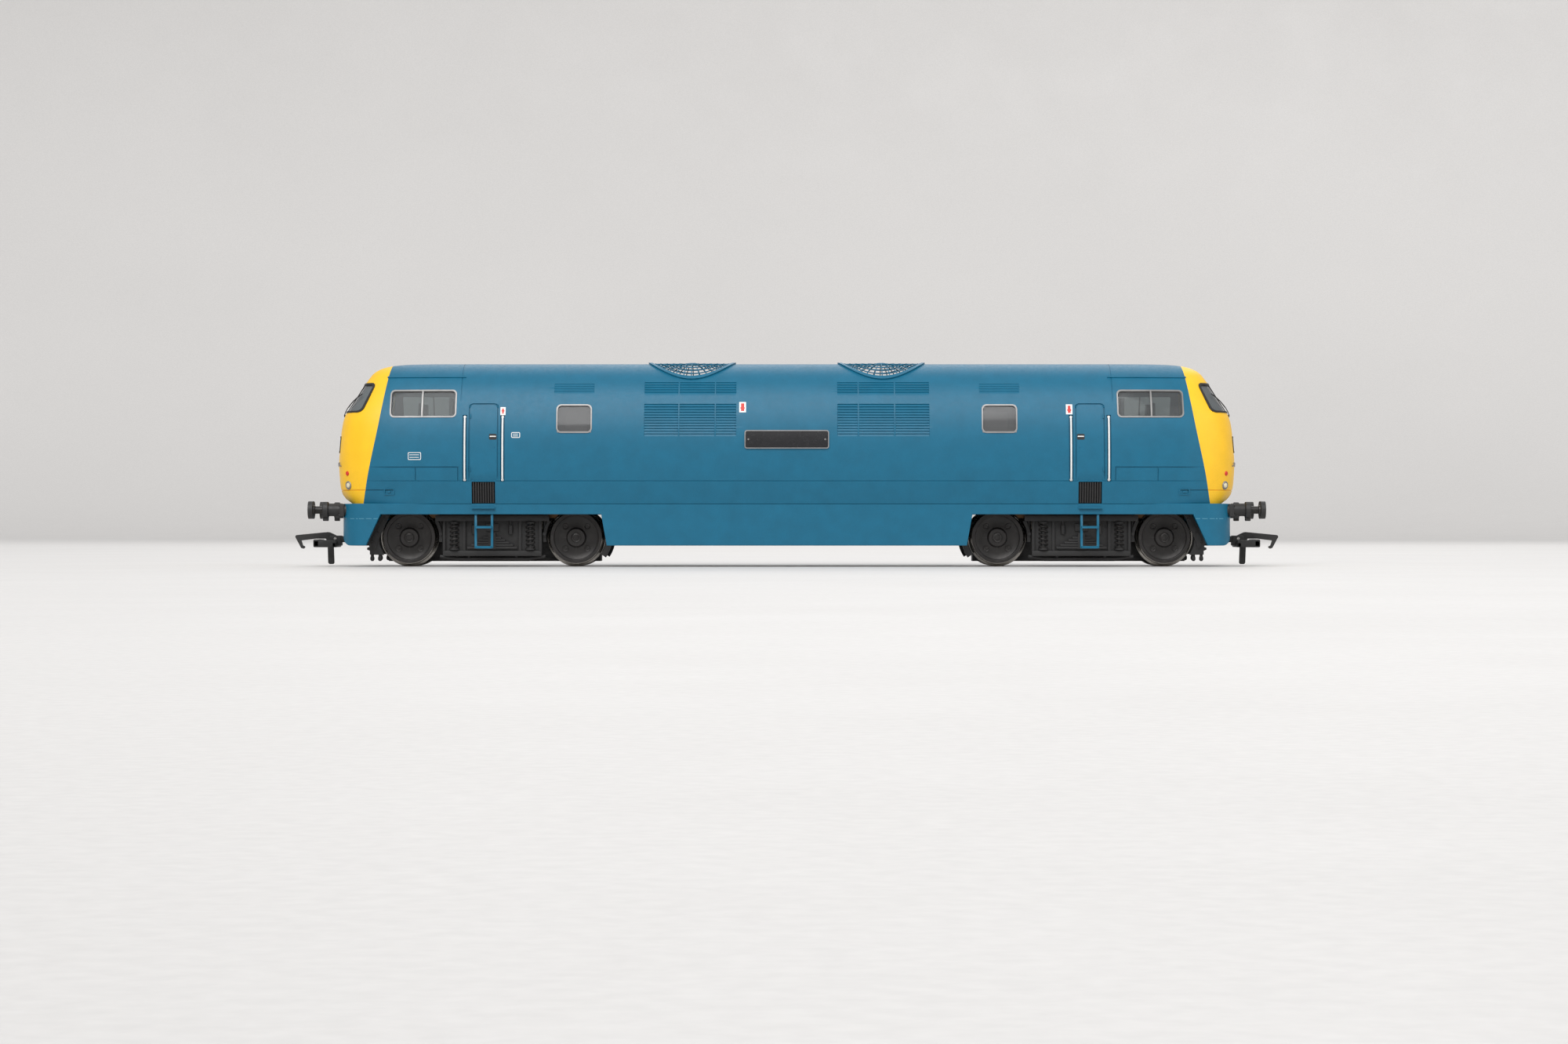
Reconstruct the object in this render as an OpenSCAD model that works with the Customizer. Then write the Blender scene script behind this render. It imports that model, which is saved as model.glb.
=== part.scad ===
// Scale-model diesel locomotive, 1:76.2 scale, 16.5 mm gauge, twin-bogie drive.
// X runs along the locomotive, Y across it, Z up. Z = 0 is the lowest point of the wheel flanges.
// A 180 degree turn about Z carries end A (-X) onto end B (+X), so each bogie is drawn once.

/* [Body] */
// Length over the end aprons
body_len = 224; // [223:0.2:225]
// Largest width of the body
body_w = 34.8; // [34.4:0.2:35.4]
// Height of the roof above the flange bottoms
roof_z = 51.3; // [51:0.1:52]
// Wall thickness of the moulded shell
wall = 1.2; // [1:0.1:1.4]

/* [Running gear] */
// Distance between the bogie pivots
bogie_centres = 148; // [147:1:149]
// Distance between a bogie's axles
wheelbase = 42; // [42:0.1:42.2]
// Diameter of the wheel tread
tread_d = 13.2; // [13:0.1:13.4]
// Depth of the wheel flange
flange = 0.7; // [0.6:0.1:0.8]
// Distance between the backs of a pair of wheels
back_to_back = 14.5; // [14.3:0.1:14.6]

/* [Buffers and couplings] */
// Length over the buffer heads
over_buffers = 240; // [239.6:0.2:240.6]
// Distance between buffer centres, across the body
buffer_gauge = 22.8; // [22.4:0.2:23.2]

/* [Hidden] */
$fn = 48;

blue = "#1f6f95";
black = "#202020";
steel = "#b9bcc0";
brass = "#c9a050";
run = 0.05;         // radial clearance of a running fit
slack = 0.05;       // clearance between flat faces that slide

// Heights of the body's features above the flange bottoms.
body_z = 15.8;      // lower edge of the shell, where it sits on the valance
waist_z = 24.7;     // widest part of the section
valance_z = 13.1;
apron_z = 5.3;
half_w = body_w / 2;
apron_x = body_len / 2;

// Heights and reaches of the nose profile: bulging front, raked windscreen, domed roof front.
nose_overhang = 1.5;
nose_profile = [
    [15.8, -4.2], [16.4, -3], [17.2, -1.8], [18.2, -1], [19.7, -0.5], [22, -0.2], [25.7, 0], [31, -0.3],
    [36, -0.9], [38, -1.5], [47.4, -7.4], [48.7, -8.4], [49.8, -10], [50.6, -12.4], [51.1, -16.4], [51.3, -23]
];
nose_depth = 30;    // length over which the nose narrows
nose_power = 3;     // superellipse exponent of the nose in plan
apron_depth = 16;
apron_power = 4.5;
roof_power_y = 2.2;
roof_power_z = 2.6;

// Openings.
window_x = 53.15;
window_size = [8.9, 7.2];
window_z = 33.4;
cab_window = [82.6, 99.6];
cab_window_z = [37.3, 44.3];
screen_z = [38.6, 46.2];
door_x = 75.75;
rail_dx = 4.75;
rail_z = [21.6, 37.6];
door_top_z = 40.9;
fan_x = 24;
fan_r = 10.4;

// Drive train. All gears share one module.
gear_module = 0.5;
worm_wheel_teeth = 30;
idler_teeth = 20;
axle_teeth = 16;
worm_r = 3.3;
axle_z = flange + tread_d / 2;
drive_gear_z = axle_z + 2.7;
axle_r = 1;
axle_x = wheelbase / 2;
bogie_x = bogie_centres / 2;
function pitch_r(teeth) = gear_module * teeth / 2;
worm_z = drive_gear_z + pitch_r(worm_wheel_teeth) + worm_r;

// The idler touches both the drive gear and the axle gear: the upper crossing of two circles.
reach_1 = pitch_r(worm_wheel_teeth) + pitch_r(idler_teeth);
reach_2 = pitch_r(idler_teeth) + pitch_r(axle_teeth);
span = norm([axle_x, axle_z - drive_gear_z]);
along = (reach_1 ^ 2 - reach_2 ^ 2 + span ^ 2) / (2 * span);
aside = sqrt(reach_1 ^ 2 - along ^ 2);
toward = [axle_x, axle_z - drive_gear_z] / span;
idler = [0, drive_gear_z] + along * toward + aside * [-toward[1], toward[0]];

// Bogie and chassis levels.
casing_half = 3.2;
cavity_half = 1.7;
casing_x = 26.9;
casing_z = 2.2;
shoulder_z = 17.2;
deck_z = [shoulder_z + slack, 18.75];
pivot_r = 8.2;
tower_z = 22.2;
coupling_x = 34;            // swing pivot of the coupling, from the bogie centre
coupling_z = [6, 7.6];
hook_pivot = [6.7, 7];      // from the swing pivot
cup_x = [-12, -8.5];        // the worm's drive cup, from the bogie centre
board_z = 33;
ballast_z = 33;
buffer_z = 14.2;
buffer_y = buffer_gauge / 2;
buffer_throw = 1.6;

// ---------- outlines ----------

// Half width of the body section at height z, for a shell drawn in by inset.
function section_half(z, inset = 0) =
    z <= waist_z
    ? half_w - inset - 1.1 * ((waist_z - z) / (waist_z - body_z)) ^ 1.6
    : let (s = min(1, (z - waist_z) / (roof_z - inset - waist_z)))
      (half_w - inset) * (1 - s ^ roof_power_z) ^ (1 / roof_power_y);

// Heights at which the section is sampled, closer together towards the roof.
function section_heights(inset, from = body_z, steps = 22) =
    [for (i = [0:steps]) from + (roof_z - inset - from) * sin(90 * i / steps) ^ 1.15];

module section(inset = 0, from = body_z) {
    heights = section_heights(inset, from);
    right = [for (z = heights) [section_half(z, inset), z]];
    left = [for (i = [len(right) - 2:-1:0]) [-right[i][0], right[i][1]]];
    polygon(concat(right, left));
}

// Plan outline with superellipse ends: straight sides, then a curve of the given depth.
module plan(reach, half, depth, power, steps = 12) {
    quarter = [
        for (i = [0:steps])
        let (angle = 90 * i / steps, lift = 2 / power)
        [reach - depth + depth * sin(angle) ^ lift, half * cos(angle) ^ lift]
    ];
    corner = concat(quarter, [for (i = [steps - 1:-1:0]) [quarter[i][0], -quarter[i][1]]]);
    polygon(concat(corner, [for (p = corner) -p]));
}

module along_x(length) rotate([90, 0, 90]) linear_extrude(length, center = true) children();
module across_y(width) rotate([90, 0, 0]) linear_extrude(width, center = true) children();
module both_ends() { children(); rotate([0, 0, 180]) children(); }
module both_sides() { children(); mirror([0, 1, 0]) children(); }

// Solid block with the body's outer form, drawn in by inset.
module body_form(inset = 0, from = body_z) {
    reach = apron_x + nose_overhang - inset;
    front = [for (p = nose_profile) [reach + p[1], p[0] == body_z ? from - 1 : p[0] - inset]];
    back = [for (i = [len(front) - 1:-1:0]) [-front[i][0], front[i][1]]];
    intersection() {
        along_x(body_len + 10) section(inset, from);
        translate([0, 0, from - 2]) linear_extrude(roof_z)
            plan(reach, half_w - inset, nose_depth, nose_power);
        across_y(body_w + 10) polygon(concat(front, back));
    }
}

// Strip that follows the body side between two heights, from offset near to offset far.
module side_strip(z0, z1, near, far, width, steps = 8) {
    heights = [for (i = [0:steps]) z0 + (z1 - z0) * i / steps];
    function edge(offset) = [for (z = heights) [section_half(z) + offset, z]];
    outer = edge(far);
    rotate([90, 0, 90]) linear_extrude(width, center = true)
        polygon(concat(edge(near), [for (i = [steps:-1:0]) outer[i]]));
}

// ---------- body ----------

// Door outline, handrail grooves and the black foot recess below the door.
module door_cuts() translate([door_x, 0, 0]) {
    for (dx = [-3.55, 3.55]) translate([dx, 0, 0]) side_strip(rail_z[0], door_top_z, -0.3, 1, 0.3);
    side_strip(door_top_z - 0.3, door_top_z, -0.3, 1, 7.1, 1);
    for (dx = [-rail_dx, rail_dx]) translate([dx, 0, 0])
        side_strip(rail_z[0] - 0.3, rail_z[1] + 0.3, -0.45, 1, 1.1);
    side_strip(body_z - 1, rail_z[0] - 0.3, -0.7, 1, 5.8, 2);
}

// Horizontal slats of one radiator intake, split by two posts.
module louvre_cuts(z0, count) for (i = [0:count - 1], bay = [[12.7, 17.7], [18.1, 26.8], [27.2, 35.6]])
    translate([(bay[0] + bay[1]) / 2, 0, 0])
        side_strip(z0 + 0.68 * i, z0 + 0.68 * i + 0.38, -0.4, 1, bay[1] - bay[0], 1);

// Panel lines of the hatch ahead of the door, and the crease that runs on to the nose.
module hatch_cuts() {
    translate([92.2, 0, 0]) side_strip(24.8, 25, -0.2, 1, 20.6, 1);
    for (x = [82, 92.7]) translate([x, 0, 0]) side_strip(21.5, 25, -0.2, 1, 0.25, 2);
    translate([91.5, 0, 0]) side_strip(21.3, 21.5, -0.2, 1, 22, 1);
}

module body_shell() color(blue) {
    difference() {
        body_form();
        body_form(wall, body_z - 3);
        both_ends() both_sides() {
            translate([window_x, 0, 0])
                side_strip(window_z, window_z + window_size[1], -3, 2, window_size[0]);
            translate([(cab_window[0] + cab_window[1]) / 2, 0, 0])
                side_strip(cab_window_z[0], cab_window_z[1], -4, 3, cab_window[1] - cab_window[0]);
            translate([104, 0.7, screen_z[0]]) cube([12, 9.8, screen_z[1] - screen_z[0]]);
            lamp_pocket();
            door_cuts();
            hatch_cuts();
            louvre_cuts(32.8, 12);
            louvre_cuts(43.3, 5);
        }
        both_ends() {
            headcode_block(0);
            translate([fan_x, 0, 40]) cylinder(r = fan_r, h = 20);
        }
    }
    both_ends() both_sides() screw_boss();
}

// Boss on the inside of the shell that a body screw bites into, with its web to the wall.
screw_at = [62, 12.4];
module screw_boss() difference() {
    union() {
        translate([screw_at[0], screw_at[1], deck_z[1]]) cylinder(r = 1.6, h = 7);
        translate([screw_at[0] - 0.6, screw_at[1], deck_z[1]]) cube([1.2, 3.6, 7]);
    }
    translate([screw_at[0], screw_at[1], deck_z[1] - 1]) cylinder(r = 0.8, h = 7.4);
}

module lamp_pocket() translate([108, 11.3, 20.2]) rotate([0, 90, 0]) cylinder(r = 0.95, h = 6);
module headcode_block(gap)
    translate([112.4 + gap, -6.3 + gap, 28.9 + gap]) cube([3, 12.6 - 2 * gap, 3.7 - 2 * gap]);

module cab_glazing() color("#9fb4c0", 0.4) both_ends() difference() {
    intersection() {
        body_form(wall + slack, body_z - 3);
        translate([82.8, -half_w, 32.8]) cube([40, body_w, 15]);
    }
    body_form(wall + 0.8, body_z - 3);
}

// Block that fills a side window's opening between two depths, drawn in by border.
module window_block(near, far, border) both_ends() both_sides() translate([window_x, 0, 0])
    side_strip(window_z + border, window_z + window_size[1] - border, near, far, window_size[0] - 2 * border);

module side_window_panes() color("#8fa0aa", 0.5) window_block(-0.9, -0.5, 0.4);

module side_window_frames() color(steel) difference() {
    window_block(-1.15, -0.05, 0);
    window_block(-2, 1, 0.4);
}

// Curved grille over each cooling fan: a rim, an inner ring and spokes, just proud of the roof.
module grille_plan() {
    for (r = [[fan_r - 0.3, fan_r + 0.7], [5, 5.7], [0, 2]]) difference() {
        circle(r = r[1]);
        circle(r = r[0]);
    }
    for (a = [0:20:340]) rotate(a) translate([1.5, -0.25]) square([fan_r - 1.5, 0.5]);
}

module fan_grilles() color(blue) both_ends() difference() {
    intersection() {
        body_form(-0.5);
        translate([fan_x, 0, 40]) linear_extrude(20) grille_plan();
    }
    body_form(0);
}

// Fan in its shroud: the shroud hangs from the underside of the roof.
module roof_fans() color("#4a4d50") both_ends() {
    difference() {
        intersection() {
            body_form(wall + slack);
            translate([fan_x, 0, 42.7]) cylinder(r = 10.9, h = 12);
        }
        translate([fan_x, 0, 40]) cylinder(r = 10.1, h = 20);
    }
    translate([fan_x, 0, 43.5]) {
        cylinder(r = 1.6, h = 4);
        for (a = [0:60:300]) rotate([0, 0, a]) translate([1.2, 0, 2]) rotate([35, 0, 0])
            translate([0, -1.6, -0.25]) cube([8.2, 3.2, 0.5]);
        translate([-10.4, -1, -0.8]) cube([20.8, 2, 0.8]);
    }
}

module handrails() color("white") both_ends() both_sides() for (dx = [-rail_dx, rail_dx])
    translate([door_x + dx, 0, 0]) {
        side_strip(rail_z[0], rail_z[1], -0.1, 0.4, 0.5);
        for (z = [rail_z[0], rail_z[1] - 0.7]) side_strip(z, z + 0.7, -0.45, 0.1, 0.5, 1);
    }

module door_ladders() color(blue) both_ends() both_sides() translate([door_x, 15.1, 0]) {
    for (dx = [-2.05, 2.05]) translate([dx - 0.3, 0, 4.6]) cube([0.6, 0.7, valance_z - 4.6]);
    for (z = [4.6, 9.6]) translate([-2.05, 0, z]) cube([4.1, 1.6, 0.6]);
}

module nameplates() color(black) both_sides() side_strip(29.5, 34.1, 0.03, 0.33, 21.1, 4);

module lamp_lenses() color("#d8d2c0") both_ends() both_sides()
    translate([108.6, 11.3, 20.2]) rotate([0, 90, 0]) cylinder(r = 0.9, h = 1.6);

module headcode_panels() color(black) both_ends() intersection() {
    headcode_block(0.03);
    translate([110, -10, 20]) cube([3.65, 20, 20]);
}

// Cab floor, rear bulkhead, desk and two seats, resting on the end of the chassis.
module cab_interiors() color("#6d7378") both_ends() {
    translate([84, -11, ballast_z]) cube([19, 22, 0.8]);
    translate([84, -11, ballast_z]) cube([0.9, 22, 9.4]);
    translate([100.5, -9.5, ballast_z]) cube([4, 19, 4.4]);
    both_sides() {
        translate([92, 4, ballast_z]) cube([4.2, 4.4, 3.4]);
        translate([92, 4, ballast_z]) cube([0.9, 4.4, 8.2]);
    }
}

// ---------- underframe ----------

module skirt_ring(z0, z1) translate([0, 0, z0]) linear_extrude(z1 - z0) difference() {
    plan(apron_x, half_w - 1.2, apron_depth, apron_power);
    plan(apron_x - 1.1, half_w - 2.3, apron_depth, apron_power);
}

// Regions of the skirt kept below the valance: end aprons with raked rear edges and rounded lower
// front corners, and the panel between the bogies.
apron_round = 2;
module skirt_sides() across_y(body_w) {
    corner = [for (a = [-90:15:0]) [apron_x, apron_z] + apron_round * [cos(a) - 1, sin(a) + 1]];
    for (s = [-1, 1]) scale([s, 1])
        polygon(concat([[101.6, valance_z], [105.3, apron_z]], corner, [[apron_x, valance_z]]));
    polygon([[-46.4, valance_z], [-45, apron_z], [45, apron_z], [46.4, valance_z]]);
}

beam_half = 13.2;
beam_z = 12;
module valance() color(blue) difference() {
    union() {
        skirt_ring(valance_z, body_z);
        intersection() {
            skirt_ring(apron_z, valance_z);
            skirt_sides();
        }
    }
    both_ends() {
        translate([100, -beam_half, beam_z]) cube([20, 2 * beam_half, 10]);
        translate([100, -10.5, 0]) cube([20, 21, 20]);
    }
}

// Buffer beam: follows the apron's curve and carries the housings and the drawhook hole.
module buffer_beams() color(blue) both_ends() difference() {
    intersection() {
        translate([0, 0, beam_z + 0.02]) linear_extrude(body_z - beam_z - 0.04) difference() {
            plan(apron_x, half_w - 1.2, apron_depth, apron_power);
            plan(apron_x - 2.2, half_w - 3.4, apron_depth, apron_power);
        }
        translate([100, -beam_half + 0.02, 0]) cube([20, 2 * beam_half - 0.04, 20]);
    }
    both_sides() translate([100, buffer_y, buffer_z]) rotate([0, 90, 0]) cylinder(r = 1.3, h = 20);
    translate([100, 0, buffer_z]) rotate([0, 90, 0]) cylinder(r = 0.6, h = 20);
}

module buffer_place(side) translate([0, side * buffer_y, buffer_z]) rotate([0, 90, 0]) children();

module buffer_housings() color(black) both_ends() for (side = [-1, 1]) buffer_place(side) difference() {
    union() {
        translate([0, 0, apron_x - 2]) cylinder(r = 1.3, h = 3);
        translate([0, 0, apron_x - 0.3]) cylinder(r = 1.5, h = 4.1);
        translate([0, -0.7, apron_x - 0.3]) cube([2, 1.4, 1.7]);
        translate([0, 0, 115.2]) cylinder(r = 2.05, h = 1.4);
        translate([0, -0.6, 115.2]) cube([2.7, 1.2, 1.4]);
    }
    translate([0, 0, 109.8]) cylinder(r = 0.8 + run, h = 10);
}

module buffer_head(end, side) color(black) rotate([0, 0, end == "a" ? 180 : 0]) buffer_place(side) {
    translate([0, 0, 109.8 + buffer_throw + 0.1]) cylinder(r = 0.8, h = 7.6);
    translate([0, 0, over_buffers / 2 - 1.2]) {
        cylinder(r = 1.2, h = 0.6);
        translate([0, 0, 0.2]) linear_extrude(1) {
            square([4.4, 2.2], center = true);
            for (s = [-1, 1]) translate([0, s * 1.1]) circle(r = 2.2);
        }
    }
}

// Die-cast chassis: a deck the length of the body, a deep middle with the motor well, and end ballast.
board_post = [33, 9.6];
module chassis_block() color("#8a8d90") difference() {
    union() {
        translate([-96, -13.8, deck_z[0]]) cube([192, 27.6, deck_z[1] - deck_z[0]]);
        translate([-103, -10.5, deck_z[0]]) cube([206, 21, deck_z[1] - deck_z[0]]);
        translate([-42, -12, 8.6]) cube([84, 24, 12.7]);
        both_ends() {
            translate([88.5, -9.5, deck_z[0]]) cube([14, 19, ballast_z - deck_z[0]]);
            both_sides() translate([board_post[0], board_post[1], deck_z[1]])
                cylinder(r = 1.7, h = board_z - deck_z[1]);
        }
    }
    // Wells for the motor, flywheels and drive shafts.
    translate([0, 0, worm_z]) rotate([0, 90, 0]) {
        cylinder(r = 9, h = 28.8, center = true);
        cylinder(r = 7.8, h = 49, center = true);
        cylinder(r = 3.9, h = 134, center = true);
    }
    translate([-14.4, -9, worm_z]) cube([28.8, 18, 20]);
    translate([-24.5, -7.8, worm_z]) cube([49, 15.6, 20]);
    translate([-67, -3.9, worm_z]) cube([134, 7.8, 20]);
    both_ends() {
        translate([bogie_x, 0, 0]) cylinder(r = pivot_r + run, h = 30);
        translate([bogie_x - 15, -5.6, 0]) cube([10, 11.2, 30]);
        both_sides() {
            translate([screw_at[0], screw_at[1], 0]) cylinder(r = 0.9, h = 30);
            translate([board_post[0], board_post[1], board_z - 6]) cylinder(r = 0.6, h = 10);
        }
    }
}

// Fuel and water tanks with strap ribs, hung below the chassis between the bogies.
module underframe_tanks() color(black) {
    translate([-40, -12.6, 6.2]) cube([26, 25.2, 2.4]);
    translate([14, -12.6, 6.2]) cube([26, 25.2, 2.4]);
    translate([-14.5, -9, 6.8]) cube([29, 18, 1.8]);
    for (x = [-34, -27, -20, 20, 27, 34]) translate([x - 0.5, -12.9, 5.7]) cube([1, 25.8, 1]);
    for (x = [-8, 8]) translate([x, 0, 5.9]) cylinder(r = 2.6, h = 1);
}

// ---------- motor ----------

module on_shaft(x0, r, length) translate([x0, 0, worm_z]) rotate([0, 90, 0]) cylinder(r = r, h = length);

module motor_case() color(steel) difference() {
    intersection() {
        on_shaft(-12, 9, 24);
        translate([-13, -7.6, 0]) cube([26, 15.2, 40]);
    }
    on_shaft(-13, 7.2, 26);
}

module motor_end_caps() color("#e8e4d8") both_ends() difference() {
    union() {
        intersection() {
            on_shaft(12, 9, 1.4);
            translate([10, -7.6, 0]) cube([6, 15.2, 40]);
        }
        on_shaft(12, 2.4, 2.2);
    }
    on_shaft(10, axle_r + run, 6);
}

module motor_shaft() color(steel) on_shaft(-26, axle_r, 52);

module armature() color("#a8743c") difference() {
    on_shaft(-9, 6.8, 18);
    on_shaft(-10, axle_r, 20);
    for (a = [0:72:288]) translate([0, 0, worm_z]) rotate([a, 0, 0])
        translate([-10, -0.5, 4]) cube([20, 1, 4]);
}

// Flywheels with the drive cups pressed on beyond them.
module flywheels() color(brass) both_ends() difference() {
    union() {
        on_shaft(15, 7.2, 8.4);
        on_shaft(23.4, 1.9, 1.2);
        on_shaft(24.6, 2.9, 4.6);
    }
    on_shaft(14, axle_r, 12);
    on_shaft(26, 2.2, 5);
    translate([26.9, -3.5, worm_z - 0.5]) cube([3, 7, 1]);
}

// Drive shaft: a ball and cross pin in the flywheel's cup, and a plain ball floating in the worm's cup.
module cardan() color("#d8d8d8") {
    on_shaft(27.7, 0.7, bogie_x - 10.9 - 27.7);
    translate([27.7, 0, worm_z]) sphere(r = 1.4);
    translate([27.7, 0, worm_z]) rotate([90, 0, 0]) cylinder(r = 0.4, h = 4.8, center = true);
    translate([bogie_x - 10.6, 0, worm_z]) sphere(r = 0.8);
}

module circuit_board() color("#20563c") {
    difference() {
        translate([-36, -11.5, board_z]) cube([72, 23, 1.1]);
        both_ends() both_sides()
            translate([board_post[0], board_post[1], board_z - 1]) cylinder(r = 0.9, h = 6);
    }
    translate([-9, -6, board_z]) cube([18, 9, 4]);
    translate([16, -3, board_z]) cube([9, 6, 3]);
    translate([-22, 0, board_z]) cylinder(r = 2.6, h = 6);
}

// One screw, head down at z = 0, shank up.
module screw(head_r, head_h, r, length) difference() {
    union() { cylinder(r = head_r, h = head_h); cylinder(r = r, h = head_h + length); }
    translate([-head_r, -0.2, -0.5]) cube([2 * head_r, 0.4, 1]);
}

module screws() color(steel) both_ends() both_sides() {
    translate([screw_at[0], screw_at[1], deck_z[0] - 1.3]) screw(1.7, 1.3, 0.8, 7);
    translate([board_post[0], board_post[1], board_z + 2.25]) rotate([180, 0, 0]) screw(1.6, 1.15, 0.6, 5);
}

// ---------- gears ----------

// Involute gear outline. An angle is measured from the X axis; a tooth is centred on it at phase.
pressure = 20;
function involute_angle(r, base) = r <= base ? 0 : let (a = acos(base / r)) tan(a) * 180 / PI - a;
function gear_outline(teeth, phase, thin = 0.07) =
    let (
        rp = pitch_r(teeth),
        base = rp * cos(pressure),
        tip = rp + 0.9 * gear_module,
        root = rp - 1.3 * gear_module,
        start = max(root, base),
        half = 90 / teeth - thin / rp * 180 / PI + involute_angle(rp, base),
        radii = [for (i = [0:3]) start + (tip - start) * i / 3],
        flank = concat([[root, half]], [for (r = radii) [r, half - involute_angle(r, base)]])
    )
    [for (k = [0:teeth - 1], side = [-1, 1], i = [0:len(flank) - 1])
        let (f = flank[side < 0 ? i : len(flank) - 1 - i], a = phase + 360 * k / teeth + side * f[1])
        f[0] * [cos(a), sin(a)]];

// Phase of a gear that meshes with one at a known phase, along a line of centres at angle line.
function mesh_phase(phase, line, teeth, next_teeth) =
    line + 180 - (phase - line) * teeth / next_teeth + 180 / next_teeth;

drive_phase = 90 + 180 / worm_wheel_teeth;
function idler_line(s) = atan2(idler[1] - drive_gear_z, s * idler[0]);
function axle_line(s) = atan2(axle_z - idler[1], s * (axle_x - idler[0]));
function idler_phase(s) = mesh_phase(drive_phase, idler_line(s), worm_wheel_teeth, idler_teeth);
function axle_phase(s) = mesh_phase(idler_phase(s), axle_line(s), idler_teeth, axle_teeth);

module gear(at, teeth, phase, width, hub_r, journal) translate([at[0], 0, at[1]]) rotate([90, 0, 0]) {
    linear_extrude(width, center = true) polygon(gear_outline(teeth, phase));
    cylinder(r = hub_r, h = 2 * cavity_half - 0.1, center = true);
    cylinder(r = axle_r, h = journal, center = true);
}

module drive_gear() color("#e6e0cc") gear([0, drive_gear_z], worm_wheel_teeth, drive_phase, 3, 2.4, 6.2);
module idler_gear(s) color("#e6e0cc")
    gear([s * idler[0], idler[1]], idler_teeth, idler_phase(s), 2.4, 2, 6.2);

module axle(s) color(steel) gear([s * axle_x, axle_z], axle_teeth, axle_phase(s), 2.4, 1.8, 18.6);

// Worm: an off-centre disc swept along a helix, with its shaft and drive cup.
module worm() color(brass) {
    lead = PI * gear_module;
    turns = 4;
    union() {
        translate([0, 0, worm_z]) rotate([0, 90, 0])
            linear_extrude(lead * turns, center = true, twist = -360 * turns, slices = 12 * turns)
                translate([0.6, 0]) circle(r = worm_r - 0.2, $fn = 18);
        on_shaft(-8.4, 0.75, 14.9);
        difference() {
            on_shaft(cup_x[0], 3.1, cup_x[1] - cup_x[0]);
            on_shaft(cup_x[0] - 1, 2.6, cup_x[1] - cup_x[0] + 0.3);
        }
        on_shaft(cup_x[1] - 0.2, 1.2, 0.9);
    }
}

// ---------- bogie ----------

// Half section of a wheel from bore to flange, back face on the left; y is the distance from the back.
tread_r = tread_d / 2;
wheel_width = 2.8;
module wheel_profile() polygon([
    [axle_r, 0], [tread_r + flange - 0.2, 0], [tread_r + flange, 0.25], [tread_r + flange, 0.45],
    [tread_r + 0.1, 0.85], [tread_r, wheel_width], [tread_r - 1, wheel_width], [tread_r - 1.15, 2.1],
    [2.6, 1.7], [2.3, 2.5], [axle_r, 2.5]
]);

module wheels(s) color("#8f9296") both_sides()
    translate([s * axle_x, back_to_back / 2, axle_z]) rotate([-90, 0, 0]) rotate_extrude($fn = 64)
        wheel_profile();

module casing_outline() polygon([
    [-casing_x, casing_z], [casing_x, casing_z], [casing_x, 11], [23.6, 13.6], [19, 16.6], [19, shoulder_z],
    [-19, shoulder_z], [-19, 16.6], [-23.6, 13.6], [-casing_x, 11]
]);

// Room for the gears: open below, rounded over each gear.
module gear_cavity() across_y(2 * cavity_half) {
    translate([-24.4, -5]) square([48.8, 12]);
    translate([-14, 4]) square([28, 6]);
    translate([0, drive_gear_z]) circle(r = pitch_r(worm_wheel_teeth) + 0.8);
    for (s = [-1, 1]) {
        translate([s * idler[0], idler[1]]) circle(r = pitch_r(idler_teeth) + 0.75);
        translate([s * axle_x, axle_z]) circle(r = pitch_r(axle_teeth) + 0.75);
    }
}

module bogie_frame() color(black) difference() {
    union() {
        across_y(2 * casing_half) casing_outline();
        translate([0, 0, shoulder_z - 3]) cylinder(r = 10, h = 3);
        translate([0, 0, shoulder_z - 1]) cylinder(r = pivot_r, h = deck_z[1] - shoulder_z + 1);
        translate([-6.6, -4.4, shoulder_z - 1]) cube([13.2, 8.8, tower_z - shoulder_z + 1]);
        translate([-3.5, -10.4, 8.6]) cube([7, 20.8, 3.2]);
        translate([27.95, -7.4, 10]) cube([1, 14.8, 1.4]);
        translate([26, -2.4, 8.6]) cube([2.95, 4.8, 2.8]);
        drawbar();
    }
    gear_cavity();
    // Worm trough and the saddles that its shaft lies in.
    translate([-3.6, -4, 16.2]) cube([7.2, 8, 10]);
    translate([-7, -0.75 - run, worm_z]) cube([14, 1.5 + 2 * run, 5]);
    translate([-7, 0, worm_z]) rotate([0, 90, 0]) cylinder(r = 0.75 + run, h = 14);
    // Journals of the drive gear and idlers, and the slots that the axles rise into.
    for (at = [[0, drive_gear_z], idler, [-idler[0], idler[1]]])
        translate([at[0], 0, at[1]]) rotate([90, 0, 0])
            cylinder(r = axle_r + run, h = 2 * casing_half + 1, center = true);
    for (s = [-1, 1]) translate([s * axle_x, 0, 0]) {
        translate([0, 0, axle_z]) rotate([90, 0, 0]) cylinder(r = axle_r + run, h = 8, center = true);
        translate([-axle_r - run, -4, 0]) cube([2 * (axle_r + run), 8, axle_z]);
    }
}

// Arm that carries the coupling between two plates on a vertical pin.
module drawbar() {
    height = coupling_z[1] - coupling_z[0];
    translate([26, -2.4, coupling_z[0] - 0.8]) cube([5.4, 4.8, height + 1.6]);
    for (z = [coupling_z[0] - 0.8, coupling_z[1] + slack]) {
        translate([31, -2.4, z]) cube([coupling_x - 31, 4.8, 0.8 - slack]);
        translate([coupling_x, 0, z]) cylinder(r = 2.4, h = 0.8 - slack);
    }
    translate([coupling_x, 0, coupling_z[0] - 0.8]) cylinder(r = 0.8, h = height + 1.6);
}

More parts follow.
